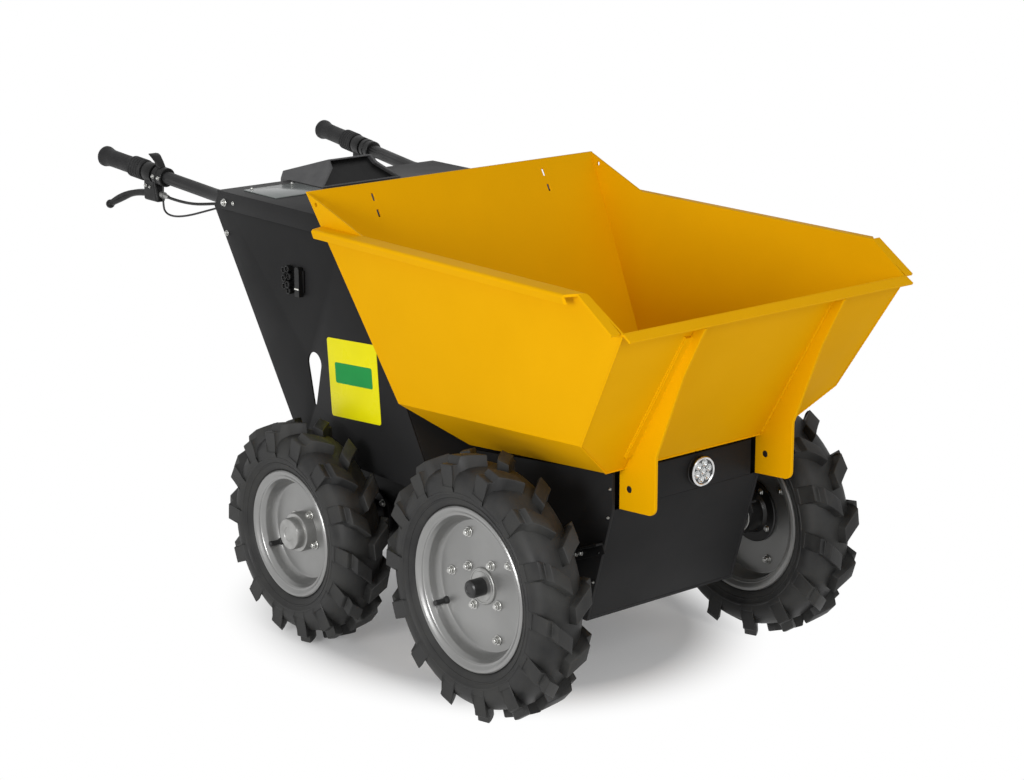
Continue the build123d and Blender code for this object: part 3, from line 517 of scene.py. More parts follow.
# Rims: pressed steel in two halves with a rolled lip, a stepped wall and a flat dished disc, silver
# painted. Zinc nuts on washers hold the hub and the two halves, and a rubber valve stands in the wall.
rim_silver = coat(
    "rim_silver", (0.31, 0.31, 0.305), (0.265, 0.265, 0.26), 9.0, 900.0, (0.28, 0.38), 0.12,
    Metallic=0.75,
)
zinc = coat(
    "zinc_plate", (0.62, 0.62, 0.60), (0.48, 0.48, 0.46), 60.0, 1500.0, (0.26, 0.38), 0.2,
    Metallic=1.0,
)
valve_rubber = coat(
    "valve_rubber", (0.016, 0.016, 0.016), (0.012, 0.012, 0.012), 80.0, 1500.0, (0.45, 0.55), 0.2,
)
rim_face = (
    (-17, 6), (-14, 7), (-11, 10.5), (-8.5, 18), (-6.5, 26), (-5.6, 29), (-3.6, 31), (-2.6, 34),
    (-0.5, 36.2), (2, 37), (4.4, 38), (7, 40.6), (10, 41.9), (12.8, 41.6), (14.8, 40), (15.4, 37.9),
    (14.6, 37.1), (0, 37),
)
rim_back = (
    (0, -37), (14.6, -37.1), (15.4, -38.4), (13.6, -41), (9, -42), (4, -40), (0, -36), (-5, -33), (-6, -8),
    (-9, 0), (-15, 1),
)


def nuts(name, spots, out, across, height, washer):
    """Hexagon nuts on round washers, standing on given spots and facing along one direction."""
    facing = Vector(out).to_track_quat("Z", "Y").to_euler()
    bpy.ops.object.select_all(action="DESELECT")
    rows = (  # sides, radius, height and lift of the washer, the hexagon and the bolt's end
        (20, washer, 0.25 * height, 0),
        (6, 0.56 * across, 0.8 * height, 0.2 * height),
        (14, 0.32 * across, 0.4 * height, height),
    )
    bpy.ops.mesh.primitive_plane_add(size=mm)
    piece = bpy.context.object
    piece.name = name
    edit(piece)
    bpy.ops.mesh.select_all(action="SELECT")
    bpy.ops.mesh.delete(type="VERT")
    for spot in spots:
        for sides, radius, tall, lift in rows:
            bpy.ops.mesh.primitive_cylinder_add(
                vertices=sides, radius=radius * mm, depth=tall * mm, rotation=facing,
                location=Vector(spot) + Vector(out) * (lift + tall / 2) * mm,
            )
    bpy.ops.object.mode_set(mode="OBJECT")
    round_edges(piece, 0.05 * across * mm, 1)
    return piece


rim_lip = 15.5
disc_face = 6
disc_thick = 5
nut_sizes = (13, 7, 9)  # across, height and washer in mm
front_seat = 127
stud_reach = 46
stud_turns = (62, 147, 238, 328)
rim_turns = ((114, 93), (294, 93), (176, 83), (38, 88))  # turn in degrees and reach in mm
stem_inset = 16
stem_turn = math.radians(208)
stem_half = (
    (0, 6), (7, 6), (6, 11), (4.4, 13), (4.2, 27), (4.8, 27.5), (4.8, 32), (3.6, 33.5), (0, 33.5),
)
for end, hand, side in wheels:
    node = f"rim_{end}_{hand}"
    body = f"wheel_{end}_{hand}"
    centre = axle_point(node)
    seat = (extent(node)[1].z - centre.z) / mm - rim_lip
    bore = (extent(f"hub_{end}_{hand}")[1].z - centre.z) / mm
    dish = [(seat + rise, out) for rise, out in rim_face + rim_back]
    section = [(bore, 1), (bore, disc_face), *dish, (bore, 1)]
    rim = lathe(node + "_pressing", centre, (0, side, 0), section, 96)
    fit(rim, body, "rim_metal", rim_silver, node)
    spread = stud_reach / front_seat * seat if end == "rear" else stud_reach
    places = []
    for turn, reach in [(turn, spread) for turn in stud_turns] + list(rim_turns if end == "front" else ()):
        turn = math.radians(turn)
        stud_x, stud_z = reach * math.cos(turn), reach * math.sin(turn)
        places.append(centre + Vector((stud_x, side * disc_face, stud_z)) * mm)
    fit(nuts(node + "_nuts", places, (0, side, 0), *nut_sizes), body, "hub_metal", zinc)
    backs = [place - Vector((0, side * disc_thick, 0)) * mm for place in places]
    fit(nuts(node + "_bolts", backs, (0, -side, 0), *nut_sizes), body, "hub_metal", zinc)
    stem_spot = centre + Vector((math.cos(stem_turn), 0, math.sin(stem_turn))) * (seat - stem_inset) * mm
    stem = lathe(node + "_valve", stem_spot, (0, side, 0), stem_half, 20)
    fit(stem, body, "soft_rubber", valve_rubber)

# Hubs: turned steel that fills each disc's bore. The front ones end in a zinc collar round a black axle
# cap, and the rear ones in a stepped zinc cap. A black cast flange holds each disc from behind.
hub_zinc = coat(
    "hub_zinc", (0.42, 0.42, 0.41), (0.33, 0.33, 0.32), 45.0, 1200.0, (0.34, 0.46), 0.2,
    Metallic=0.9,
)
hub_black = coat(
    "hub_black", (0.012, 0.012, 0.012), (0.009, 0.009, 0.009), 40.0, 900.0, (0.28, 0.4), 0.15,
)
front_hub = (
    (0, -43), (12.8, -43), (30.5, -43), (32, -41.5), (32, 8.6), (30.6, 10), (28.4, 10), (28, 9.2),
    (25.6, 9.2), (25, 10), (0, 10),
)
front_cap = ((0, 9), (15.5, 9), (15.5, 31), (14.5, 34.5), (12, 36.6), (8, 37), (7, 36), (0, 36))
rear_hub = (
    (0, -43), (34.5, -43), (36, -41.5), (36, 25), (35, 27.2), (33, 28), (29, 28), (29, 40.5), (27.6, 43),
    (25, 44), (13, 44), (12, 42.8), (0, 42.8),
)
flange_half = (
    (0.2, 0.6), (26, 0.6), (26, -3.4), (24.6, -4.6), (9, -6), (5, -12), (4, -40), (3, -42.6), (0.2, -42.6),
    (0.2, 0.6),
)
for end, hand, side in wheels:
    node = f"hub_{end}_{hand}"
    body = f"wheel_{end}_{hand}"
    centre = axle_point(f"rim_{end}_{hand}")
    hub = lathe(node + "_turning", centre, (0, side, 0), front_hub if end == "front" else rear_hub, 64)
    fit(hub, body, "hub_metal", hub_zinc, node)
    core = (extent(node)[1].z - centre.z) / mm
    flange = [(core + rise, out) for rise, out in flange_half]
    fit(lathe(node + "_flange", centre, (0, side, 0), flange, 48), body, "hub_metal", hub_black)
    if end == "front":
        cap = lathe(node + "_cap", centre, (0, side, 0), front_cap, 48)
        fit(cap, body, "hub_metal", hub_black)

# Axles: turned steel shafts through both side plates, black, with a bolted flange outside each plate.
# A short folded stay beside each front flange runs to the plate's front edge.
axle_black = coat(
    "axle_black", (0.014, 0.014, 0.0145), (0.010, 0.010, 0.0105), 25.0, 800.0, (0.36, 0.5), 0.25,
    Specular_IOR_Level=0.3,
)
plate_out = 171
flange_turns = (45, 135, 225, 315)
flange_bolt = 35
stub_length = 44.3
stay_rear = 0.516
stay_front = 0.594
stay_level = 0.290
stay_tilt = math.radians(22.5)
web_reach = 16
leaf_thick = 3
stay_nuts = ((0.527, 0.271), (0.539, 0.276))


def block(name, low, high):
    """Box between two corners, ready for shaping."""
    bpy.ops.object.select_all(action="DESELECT")
    low, high = Vector(low), Vector(high)
    bpy.ops.mesh.primitive_cube_add(size=1, location=(low + high) / 2, scale=high - low)
    piece = bpy.context.object
    piece.name = name
    bpy.ops.object.transform_apply(location=True, rotation=True, scale=True)
    return piece


for end in ("front", "rear"):
    node = f"{end}_axle"
    low, high = extent(node)
    centre = (low + high) / 2
    tip = (high.y - centre.y) / mm
    face = tip - stub_length
    half = (
        (20, plate_out + 0.3), (44, plate_out + 0.3), (44, plate_out + 6), (42.5, plate_out + 7.5),
        (27, plate_out + 8), (25, plate_out + 24), (23.5, plate_out + 26), (20, plate_out + 26),
        (20, face - 1), (18.8, face), (12.5, face), (12.5, tip - 0.6), (11.9, tip), (0, tip),
    )
    whole = [(radius, -out) for radius, out in reversed(half)] + list(half)
    fit(lathe(node + "_shaft", centre, (0, 1, 0), whole, 48), "chassis", "axle_steel", axle_black, node)
    for hand, side in hands:
        spots = []
        for turn in flange_turns:
            ray = Vector((math.cos(math.radians(turn)), 0, math.sin(math.radians(turn))))
            spots.append(centre + ray * flange_bolt * mm + Vector((0, side * (plate_out + 7.5), 0)) * mm)
        fit(nuts(f"{node}_nuts_{hand}", spots, (0, side, 0), 10, 6, 7), "chassis", "axle_steel", zinc)
for hand, side in hands:
    near, far = sorted((side * plate_out, side * (plate_out + web_reach)))
    web = block(
        f"front_stay_{hand}", (stay_rear, near * mm, stay_level - 2 * mm),
        (stay_front, far * mm, stay_level + 2 * mm),
    )
    near, far = sorted((side * plate_out, side * (plate_out + leaf_thick)))
    leaf = block(
        "stay_leaf", (stay_rear, near * mm, stay_level - 18 * mm),
        (stay_front, far * mm, stay_level + 1 * mm),
    )
    stay = join_all(web, leaf)
    edit(stay)
    bpy.ops.mesh.select_all(action="SELECT")
    stay_middle = ((stay_rear + stay_front) / 2, side * plate_out * mm, stay_level)
    bpy.ops.transform.rotate(value=stay_tilt, orient_axis="Y", center_override=stay_middle)
    bpy.ops.object.mode_set(mode="OBJECT")
    round_edges(stay, 0.8 * mm)
    fit(stay, "chassis", "body_paint", body_charcoal)
    spots = [(x, side * (plate_out + leaf_thick) * mm, z) for x, z in stay_nuts]
    fit(nuts(f"front_stay_nuts_{hand}", spots, (0, side, 0), 8, 5, 5.5), "chassis", "axle_steel", zinc)

# Pivot brackets: steel lugs with a pin each, welded on and black. Their near-black, darker than the black
# axles, is partly painted shade, so that the pins in the ears' holes read as dark, empty holes.
# The bucket's ears turn on the pins.
pin_black_painted_hole_shade = coat("pin_black_painted_hole_shade", (0.006, 0.006, 0.006), (0.004, 0.004, 0.004), 60.0, 900.0, (0.5, 0.6), 0.2)
lugs = cut_copy("pivot_brackets", "pivot_brackets_lugs", 0.8 * mm)
fit(lugs, "chassis", "axle_steel", pin_black_painted_hole_shade, "pivot_brackets")

# Bucket buffers: two turned rubber blocks, screwed to the cross tie.
# The bucket's floor lies on their sloping tops.
buffer_rubber = coat(
    "buffer_rubber", (0.022, 0.022, 0.022), (0.015, 0.015, 0.015), 50.0, 900.0, (0.6, 0.72), 0.3,
)
buffers = cut_copy("bucket_buffers", "bucket_buffers_rubber", 2.5 * mm, 3)
fit(buffers, "chassis", "soft_rubber", buffer_rubber, "bucket_buffers")

# Drive motor: a finned cast housing with a plain gear end, black, that lies across the chassis floor
# on a plate with four bolts.
low, high = extent("drive_motor")
middle = (low + high) / 2
bed_thick = 10
bed_inset = 10
bed_nut_inset = (13, 28)
body_radius = 53
fin_radius = 61
fin_starts = range(-92, 28, 12)
housing_drop = 61.5
housing = [(0, -118), (40, -118), (50, -113), (body_radius, -102)]
for start in fin_starts:
    housing += [(body_radius, start), (fin_radius, start + 1)]
    housing += [(fin_radius, start + 4.5), (body_radius, start + 5.5)]
housing += [(body_radius, 36), (fin_radius, 42), (fin_radius, 82)]
housing += [(57, 88), (38, 90), (38, 108), (34, 114), (0, 114)]
housing_middle = Vector((middle.x, middle.y, high.z - housing_drop * mm))
casing = lathe("drive_motor_housing", housing_middle, (0, 1, 0), housing, 48)
fit(casing, "chassis", "motor_case", axle_black, "drive_motor")
bed = block(
    "drive_motor_bed", (low.x, low.y + bed_inset * mm, low.z),
    (high.x, high.y - bed_inset * mm, low.z + bed_thick * mm),
)
round_edges(bed, 2 * mm)
fit(bed, "chassis", "motor_case", axle_black)
inset_x, inset_y = (inset * mm for inset in bed_nut_inset)
spots = [
    Vector((x, y, low.z + bed_thick * mm))
    for x in (low.x + inset_x, high.x - inset_x) for y in (low.y + inset_y, high.y - inset_y)
]
fit(nuts("drive_motor_nuts", spots, (0, 0, 1), 10, 7, 8), "chassis", "motor_case", zinc)

# Battery: a moulded black case with a raised lid and two zinc terminals.
# It stands on the console's deck, behind the bucket and under the console's top.
case_black = coat(
    "battery_black", (0.02, 0.02, 0.021), (0.014, 0.014, 0.0145), 30.0, 800.0, (0.48, 0.6), 0.3,
)
lid_drop = 22
lid_margin = 4
groove_depth = 3
groove_width = 3
lid_rise = 15
post_y = 0.11
post_drop = 10.5
low, high = extent("battery_pack")
case = block("battery_pack_case", low, (high.x, high.y, high.z - lid_drop * mm))


def choose(piece, test):
    """Select the faces of an open mesh whose normal and middle pass a test."""
    bpy.ops.mesh.select_mode(type="FACE")
    bpy.ops.object.mode_set(mode="OBJECT")
    for face in piece.data.polygons:
        face.select = test(face.normal, face.center)
    bpy.ops.object.mode_set(mode="EDIT")


edit(case)
choose(case, lambda normal, spot: normal.z > 0.9)
bpy.ops.mesh.inset(thickness=lid_margin * mm)
bpy.ops.mesh.extrude_region_move(TRANSFORM_OT_translate={"value": (0, 0, -groove_depth * mm)})
bpy.ops.mesh.inset(thickness=groove_width * mm)
bpy.ops.mesh.extrude_region_move(TRANSFORM_OT_translate={"value": (0, 0, lid_rise * mm)})
bpy.ops.object.mode_set(mode="OBJECT")
round_edges(case, 2.5 * mm, 3)
fit(case, "chassis", "battery_case", case_black, "battery_pack")
post = ((0, 0), (11, 0), (11, 2), (8, 3), (7.5, 9), (6.5, 10), (0, 10))
for hand, side in hands:
    spot = Vector(((low.x + high.x) / 2, side * post_y, high.z - post_drop * mm))
    fit(lathe(f"battery_post_{hand}", spot, (0, 0, 1), post, 24), "chassis", "battery_case", zinc)

# Lamp: a black cup on the nose with a silver bezel, seven bright cells and a clear flat lens.
# The cup is screwed on from behind.
lamp_silver = coat(
    "lamp_silver", (0.72, 0.72, 0.72), (0.6, 0.6, 0.6), 90.0, 1500.0, (0.14, 0.24), 0.1, Metallic=1.0,
)
lamp_white = coat(
    "lamp_white", (0.85, 0.85, 0.80), (0.75, 0.75, 0.70), 90.0, 1500.0, (0.3, 0.4), 0.1,
)
lamp_clear = coat(
    "lamp_clear", (0.96, 0.97, 0.97), (0.92, 0.93, 0.93), 60.0, 300.0, (0.02, 0.06), 0.08,
    Transmission_Weight=1.0, IOR=1.46,
)
low, high = extent("lamp_body")
lamp_centre = Vector((low.x, (low.y + high.y) / 2, (low.z + high.z) / 2))
cup_half = ((0, 0), (25, 0), (26, 1.5), (25, 3), (25, 9.5), (22, 9.5), (22, 6.2), (0, 6.2))
bezel_half = (
    (21.4, 9.5), (25.2, 9.5), (26, 10.5), (25.8, 12.4), (24.4, 13.8), (22.6, 13.9), (21.4, 13), (21.4, 9.5),
)
cell_half = ((0, 6.5), (2.2, 6.5), (5.6, 9.8), (6.6, 9.8), (6.6, 6.2))
led_half = ((2.1, 6.4), (1.8, 7.6), (1, 8.3), (0, 8.5))
cell_reach = 13.8
lens_half = ((0, 10.2), (21.2, 10.2), (21.2, 12.4), (18, 12.9), (10, 13.2), (0, 13.3))
cup = lathe("lamp_cup", lamp_centre, (1, 0, 0), cup_half, 48)
fit(cup, "chassis", "lamp_bezel", hub_black, "lamp_body")
fit(lathe("lamp_bezel_ring", lamp_centre, (1, 0, 0), bezel_half, 64), "chassis", "lamp_bezel", lamp_silver)
cells = []
leds = []
for turn in [None] + [math.radians(60 * step + 15) for step in range(6)]:
    shift = Vector() if turn is None else Vector((0, math.cos(turn), math.sin(turn))) * cell_reach * mm
    cells.append(lathe("lamp_cells", lamp_centre + shift, (1, 0, 0), cell_half, 18))
    leds.append(lathe("lamp_leds", lamp_centre + shift, (1, 0, 0), led_half, 12))
fit(join_all(*cells), "chassis", "lamp_bezel", lamp_silver)
fit(join_all(*leds), "chassis", "lamp_glass", lamp_white)
window = lathe("lamp_window", lamp_centre, (1, 0, 0), lens_half, 48)
fit(window, "chassis", "lamp_glass", lamp_clear, "lamp_lens")

# Label: a blank yellow film with rounded corners and a plain green block, stuck on the right side plate
# a little askew.
label_yellow = coat(
    "label_yellow", (0.86, 0.79, 0.004), (0.82, 0.75, 0.004), 20.0, 900.0, (0.25, 0.35), 0.08,
    Specular_IOR_Level=0.15,
)
label_green = coat(
    "label_green", (0.004, 0.30, 0.055), (0.003, 0.27, 0.05), 20.0, 900.0, (0.25, 0.35), 0.08,
    Specular_IOR_Level=0.15,
)
film = cut_copy("battery_label", "battery_label_film", 0.3 * mm)
fit(film, "chassis", "label_film", label_yellow, "battery_label")
low, high = extent("battery_label")
label_tilt = math.radians(4.8)
green_centre = Vector((0.013, low.y, 0.489))
green_half = Vector((0.056, 0, 0.019))
green_thick = Vector((0, 0.0003, 0))
green_corner = 4
green = block("battery_label_block", green_centre - green_half - green_thick, green_centre + green_half)
soften(green, lambda near, far: abs(near.y - far.y) > 0.1 * mm, green_corner * mm, 4)
edit(green)
bpy.ops.mesh.select_all(action="SELECT")
bpy.ops.transform.rotate(value=label_tilt, orient_axis="Y", center_override=green_centre)
close()
fit(green, "chassis", "label_film", label_green)

# Power connector: a black moulded socket on the right side plate, with a cluster of round contacts
# beside an upright latch. A near-white bar across the latch is a painted highlight, standing for a glint on
# it.
plastic_black = coat(
    "plastic_black", (0.0055, 0.0055, 0.0057), (0.004, 0.004, 0.0041), 60.0, 700.0, (0.34, 0.46), 0.35,
    Specular_IOR_Level=0.3,
)
low, high = extent("power_connector")
socket = block(
    "power_connector_socket", (low.x + 8 * mm, high.y - 4 * mm, low.z + 6 * mm),
    (high.x - 6 * mm, high.y, high.z - 6 * mm),
)
contact_half = ((0, 0), (6.4, 0), (7, 1), (7, 9), (6, 10.4), (4.4, 10.4), (3.6, 7), (0, 7))
contact_spots = (  # forward, up and sunk in mm
    (8, 43, 1), (20, 47, 0), (10, 28, 0), (22, 33, 2), (8, 13, 2), (21, 18, 0), (19, 6, 3),
)
latch_knee = low.z + 10 * mm
latch_lean = Vector((-4, 3, 0))
parts = []
for right, up, sunk in contact_spots:
    spot = Vector((low.x + right * mm, high.y + (sunk - 4) * mm, low.z + up * mm))
    parts.append(lathe("contact", spot, (0, -1, 0), contact_half, 20))
latch = block("latch", (high.x - 21 * mm, low.y, low.z), (high.x - 7 * mm, low.y + 10 * mm, high.z))
edit(latch)
pick(latch, lambda spot: spot.z > latch_knee)
bpy.ops.transform.translate(value=latch_lean * mm)
close()
soften(
    latch, lambda near, far: min(near.z, far.z) > latch_knee and abs(near.y - far.y) > 1 * mm, 5 * mm, 4,
)
socket = join_all(socket, latch, *parts)
round_edges(socket, 0.9 * mm)
fit(socket, "chassis", "black_plastic", plastic_black, "power_connector")
# Painted highlight: a near-white bar across the latch's foot, standing for a glint.
highlight_bar = block(
    "power_connector_painted_highlight", (high.x - 21.2 * mm, low.y - 0.3 * mm, low.z + 13 * mm),
    (high.x - 8.6 * mm, low.y + 3 * mm, low.z + 15.4 * mm),
)
round_edges(highlight_bar, 0.3 * mm)
fit(highlight_bar, "chassis", "black_plastic", lamp_white)

# Handlebars: bent steel tube, black, clamped under the console's top by a screw through each side plate.
# Screws with round washers also hold the top and the rear panel.
tube_black = coat(
    "tube_black", (0.021, 0.021, 0.0215), (0.017, 0.017, 0.0175), 30.0, 900.0, (0.36, 0.46), 0.2,
    Specular_IOR_Level=0.3,
)
for hand, _ in hands:
    node = "handlebar_" + hand
    fit(cut_copy(node, node + "_tube", 0), "chassis", "body_paint", tube_black, node)
console_out = 254
flange_out = 258
console_screws = (  # place along and up in m, then out, across, height and washer in mm
    ("bar", -0.3895, 0.746, flange_out, 11, 4.5, 7.5),
    ("top", -0.3595, 0.7485, flange_out, 5.5, 1.8, 4),
    ("rear", -0.389, 0.687, console_out, 8, 3.5, 5.5),
)
for hand, side in hands:
    for label, x, z, out, across, height, washer in console_screws:
        spots = [Vector((x, side * out * mm, z))]
        screw = nuts(f"console_{label}_screw_{hand}", spots, (0, side, 0), across, height, washer)
        fit(screw, "chassis", "body_paint", zinc)

# Grips: soft black rubber, moulded with a flared end and a ribbed collar at the inner end.
# Each is pushed on its bar up to the brake lever's clamp.
grip_rubber = coat(
    "grip_rubber", (0.021, 0.021, 0.0215), (0.015, 0.015, 0.0155), 40.0, 1100.0, (0.5, 0.62), 0.4,
    Specular_IOR_Level=0.25,
)
bar_bend = Vector((-0.44994, 0.237, 0.749))
bar_tip = Vector((-0.81094, 0.267, 0.783))
ring_start = 101
ring_step = 8
ring_count = 5
grip_half = [
    (0, 1), (14, 1), (18.6, 2.2), (20.4, 5), (20.6, 9), (19.4, 14), (17.8, 20), (17, 30), (16.8, 60),
    (17, 92), (17.6, 99),
]
for ring in range(ring_count):
    start = ring_start + ring_step * ring
    grip_half += [(19.4, start), (21, start + 1.5), (21, start + 5), (19.4, start + 6.5)]
grip_half += [(18.5, 142), (12.7, 142), (12.7, 120)]


def bar_line(side):
    """Tip of a handlebar, the way it points, up from it and out from the machine."""
    tip = Vector((bar_tip.x, side * bar_tip.y, bar_tip.z))
    way = (tip - Vector((bar_bend.x, side * bar_bend.y, bar_bend.z))).normalized()
    upright = (Vector((0, 0, 1)) - way * way.z).normalized()
    across = way.cross(Vector((0, 0, 1))).normalized()
    return tip, way, upright, across * math.copysign(1, across.y * side)


for hand, side in hands:
    tip, way, *_ = bar_line(side)
    node = "grip_" + hand
    fit(lathe(node + "_rubber", tip, -way, grip_half, 40), "chassis", "soft_rubber", grip_rubber, node)

# Brake levers: cast alloy, black, each a clamp round the bar with a thick perch below it, a curved blade
# with a ball end and a barrel with a knurled nut for the cable. Two small screws close the clamp.
lever_black = coat(
    "lever_black", (0.009, 0.009, 0.0092), (0.0065, 0.0065, 0.0067), 60.0, 900.0, (0.36, 0.48), 0.2,
    Specular_IOR_Level=0.25,
)
ball_radius = 9
ball_half = []
for step in range(0, 181, 15):
    turn = math.radians(step)
    ball_half.append((ball_radius * math.sin(turn), -ball_radius * math.cos(turn)))
barrel_half = (
    (0, 0), (6, 0), (6, 11), (5, 11.5), (5, 14), (7, 14.5), (7, 20), (5, 20.5), (4.6, 25), (4.4, 30),
    (3.4, 34), (0, 34),
)
clamp_back = 161
blade_line = ((-6, 43), (52, 49), (102, 77), (140, 95.5))  # towards the tip and down from the bar, in mm
blade_radius = 5.6
perch_low = Vector((-19, -10.5, -55))
perch_high = Vector((19, 10.5, -10))
perch_waist = 30
perch_flare = 1.35
flare_centre = Vector((-14, 0, 0))
barrel_back = 20
barrel_down = 38
screw_down = 26
screw_out = 10.2
for hand, side in hands:
    tip, way, upright, outward = bar_line(side)
    node = "brake_lever_" + hand
    hold = tip - way * clamp_back * mm
    lever = cut_copy(node, node + "_casting", 2 * mm, 3)
    blade_spots = [hold + (way * along - upright * down) * mm for along, down in blade_line]
    ball = lathe("ball", blade_spots[-1], way, ball_half, 20)
    blade = sheath("blade", blade_spots, blade_radius)
    perch = block("perch", hold + perch_low * mm, hold + perch_high * mm)
    edit(perch)
    pick(perch, lambda spot: spot.z < hold.z - perch_waist * mm)
    bpy.ops.transform.resize(value=(perch_flare, 1, 1), center_override=hold + flare_centre * mm)
    close()
    round_edges(perch, 5 * mm, 4)
    fit(join_all(lever, ball, blade, perch), "chassis", "lever_metal", lever_black, node)
    barrel_spot = hold - (way * barrel_back + upright * barrel_down) * mm
    barrel = lathe(node + "_barrel", barrel_spot, -way, barrel_half, 24)
    fit(barrel, "chassis", "lever_metal", hub_zinc)
    screw_spot = hold - upright * screw_down * mm + outward * screw_out * mm
    spots = [screw_spot + way * shift * mm for shift in (-8, 8)]
    fit(nuts(node + "_screws", spots, outward, 5, 3, 3.5), "chassis", "lever_metal", zinc)

# Controls: a moulded collar on each bar, closed by two zinc screws. The right one carries an upright
# thumb paddle that leans towards the grip.
collar_half = (
    (12.6, -15), (17.6, -15), (19, -13.6), (19, -4), (17.8, -3), (17.8, 3), (19, 4), (19, 13.6), (17.6, 15),
    (12.6, 15), (12.6, -15),
)
collar_back = 195
collar_screw_out = 18.4
paddle_lean = 7
paddle_lift = 15
paddle_half = Vector((6, 8, 3))
paddle_taper = 0.92
paddle_rises = ((7, 9, 1.05), (12, 9, 1.25), (7, 3, 1.0))  # towards the grip and up in mm, then widening
for node, side in (("thumb_control", -1), ("twist_collar", 1)):
    tip, way, upright, outward = bar_line(side)
    hold = tip - way * collar_back * mm
    collar = lathe(node + "_moulding", hold, way, collar_half, 40)
    if node == "thumb_control":
        foot = hold + (way * paddle_lean + upright * paddle_lift) * mm
        paddle = block("paddle", foot - paddle_half * mm, foot + paddle_half * mm)
        edit(paddle)
        choose(paddle, lambda normal, spot: normal.z > 0.9)
        for lean, lift, widen in paddle_rises:
            rise = (way * lean + upright * lift) * mm
            bpy.ops.mesh.extrude_region_move(TRANSFORM_OT_translate={"value": rise})
            bpy.ops.transform.resize(value=(paddle_taper, widen, 1))
        bpy.ops.object.mode_set(mode="OBJECT")
        round_edges(paddle, 2.4 * mm, 3)
        collar = join_all(collar, paddle)
    fit(collar, "chassis", "black_plastic", plastic_black, node)
    spots = [hold + outward * collar_screw_out * mm + way * shift * mm for shift in (-8.5, 8.5)]
    fit(nuts(node + "_screws", spots, outward, 5.5, 3, 4), "chassis", "black_plastic", zinc)

# Brake cables: steel wire in a black sheath, from each perch's barrel nearly straight into the console.
# A thinner lead hangs in a loop from each control and runs beside it.
sheath_black = coat(
    "sheath_black", (0.010, 0.010, 0.0102), (0.007, 0.007, 0.0072), 80.0, 1200.0, (0.35, 0.45), 0.2,
)
cable_radius = 2.9
cable_at_bar = ((190, 38), (262, 41))
cable_at_console = ((-0.47, 0.222, 0.727), (-0.40094, 0.215, 0.741))
lead_radius = 2.0
lead_at_bar = ((196, 17), (196, 49), (204, 75), (258, 69))
lead_at_console = ((-0.47, 0.226, 0.719), (-0.405, 0.224, 0.738))


def cord_line(side, at_bar, at_console):
    """Places of a cord: first back along a bar and down from it in mm, then by the console in m."""
    tip, way, upright, _ = bar_line(side)
    spots = [tip - (way * back + upright * down) * mm for back, down in at_bar]
    return spots + [Vector((x, side * y, z)) for x, y, z in at_console]


for hand, side in hands:
    node = "brake_cable_" + hand
    cable = sheath(node + "_sheath", cord_line(side, cable_at_bar, cable_at_console), cable_radius)
    fit(cable, "chassis", "cable_sheath", sheath_black, node)
    lead = sheath(f"control_lead_{hand}", cord_line(side, lead_at_bar, lead_at_console), lead_radius)
    fit(lead, "chassis", "cable_sheath", sheath_black)

# Control hood: a moulded cover on the rear of the console's top, narrowing upwards in flat facets.
# A black insert stands back in the frame of its front face.
# The moulding's grey is painted light: made lighter than the black insert to stand for the light falling on
# its top facets.
hood_painted_light_grey = coat(
    "hood_painted_light_grey", (0.07, 0.07, 0.072), (0.055, 0.055, 0.057), 40.0, 700.0, (0.38, 0.5), 0.3,
)
hood_knee = 0.79
hood_narrow = 0.66
hood_crest = 0.805
hood_back = 26
frame_foot = 0.775
frame_width = 4
recess = Vector((-14, 0, -4))
insert_rise = Vector((3, 0, 1))
hood = cut_copy("control_hood", "control_hood_moulding", 0)
edit(hood)
pick(hood, lambda spot: spot.z > hood_knee)
bpy.ops.transform.resize(value=(1, hood_narrow, 1), center_override=(0, 0, hood_knee))
pick(hood, lambda spot: spot.z > hood_crest)
bpy.ops.transform.translate(value=(-hood_back * mm, 0, 0))
choose(hood, lambda normal, spot: normal.x > 0.25 and spot.z > frame_foot)
bpy.ops.mesh.inset(thickness=frame_width * mm)
bpy.ops.mesh.extrude_region_move(TRANSFORM_OT_translate={"value": recess * mm})
bpy.ops.mesh.duplicate()
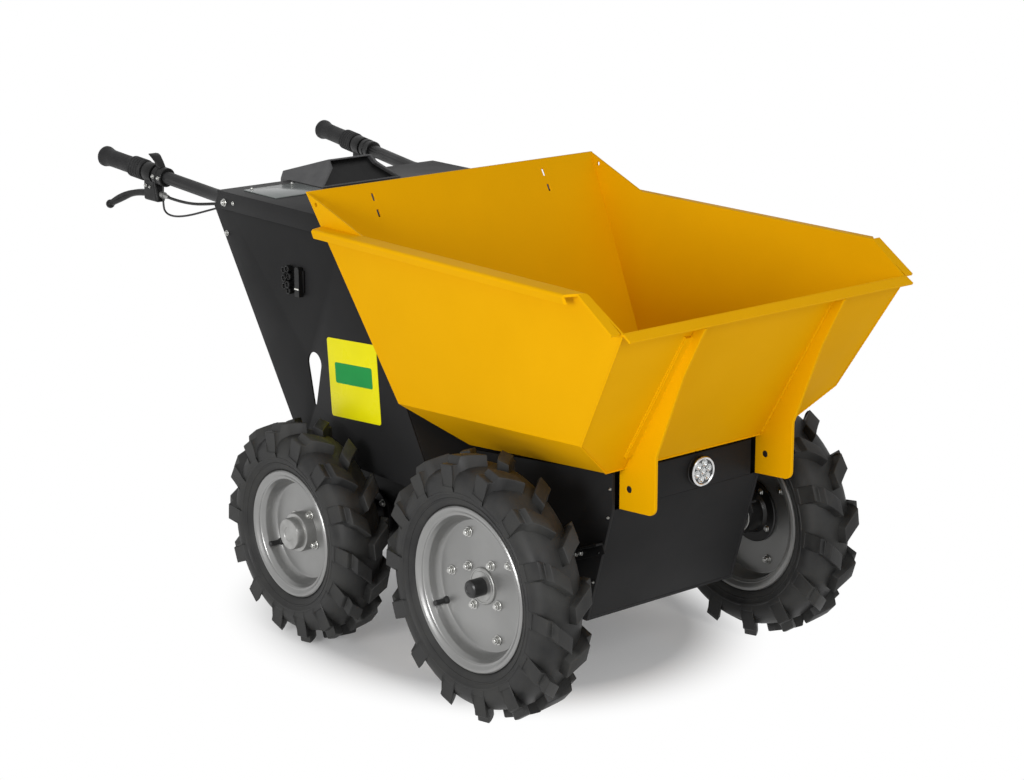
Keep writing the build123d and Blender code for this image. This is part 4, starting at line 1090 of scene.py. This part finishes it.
bpy.ops.mesh.separate(type="SELECTED")
bpy.ops.object.mode_set(mode="OBJECT")
insert = next(piece for piece in bpy.context.selected_objects if piece is not hood)
insert.name = "control_hood_insert"
round_edges(hood, 1.6 * mm, 3)
fit(hood, "chassis", "black_plastic", hood_painted_light_grey, "control_hood")
edit(insert)
bpy.ops.mesh.select_all(action="SELECT")
bpy.ops.mesh.extrude_region_move(TRANSFORM_OT_translate={"value": insert_rise * mm})
bpy.ops.mesh.select_all(action="SELECT")
bpy.ops.mesh.normals_make_consistent(inside=False)
close()
round_edges(insert, 0.8 * mm)
fit(insert, "chassis", "black_plastic", plastic_black)

# Display: a flat panel on the console's top, beside the hood, under a pale glossy film.
# Two small zinc screws hold its rear edge.
film_pale = coat(
    "film_pale", (0.21, 0.23, 0.225), (0.17, 0.19, 0.185), 18.0, 900.0, (0.12, 0.2), 0.05,
)
panel = cut_copy("display_panel", "display_panel_film", 0.5 * mm)
fit(panel, "chassis", "display_film", film_pale, "display_panel")
panel_screw_x = 6
panel_screw_y = 14
low, high = extent("display_panel")
spots = [
    Vector((low.x + panel_screw_x * mm, y, high.z))
    for y in (low.y + panel_screw_y * mm, high.y - panel_screw_y * mm)
]
fit(nuts("display_panel_screws", spots, (0, 0, 1), 5, 2.5, 3.6), "chassis", "display_film", zinc)

# Front edge screws: small zinc screws in a row along the front edge of both side plates.
# They hold the flanges of the front panel and of the nose panel.
front_foot = Vector((0.551, 0, 0.157))
front_knee = Vector((0.612, 0, 0.3665))
nose_screw = (0.607, 0.402)
edge_shares = (0.12, 0.35, 0.62, 0.93)
edge_inset = 5
for hand, side in hands:
    spots = [Vector((nose_screw[0], side * plate_out * mm, nose_screw[1]))]
    for share in edge_shares:
        edge_spot = front_foot.lerp(front_knee, share)
        spots.append(Vector((edge_spot.x - edge_inset * mm, side * plate_out * mm, edge_spot.z)))
    screws = nuts(f"front_edge_screws_{hand}", spots, (0, side, 0), 3.6, 2.6, 2.8)
    fit(screws, "chassis", "body_paint", zinc)
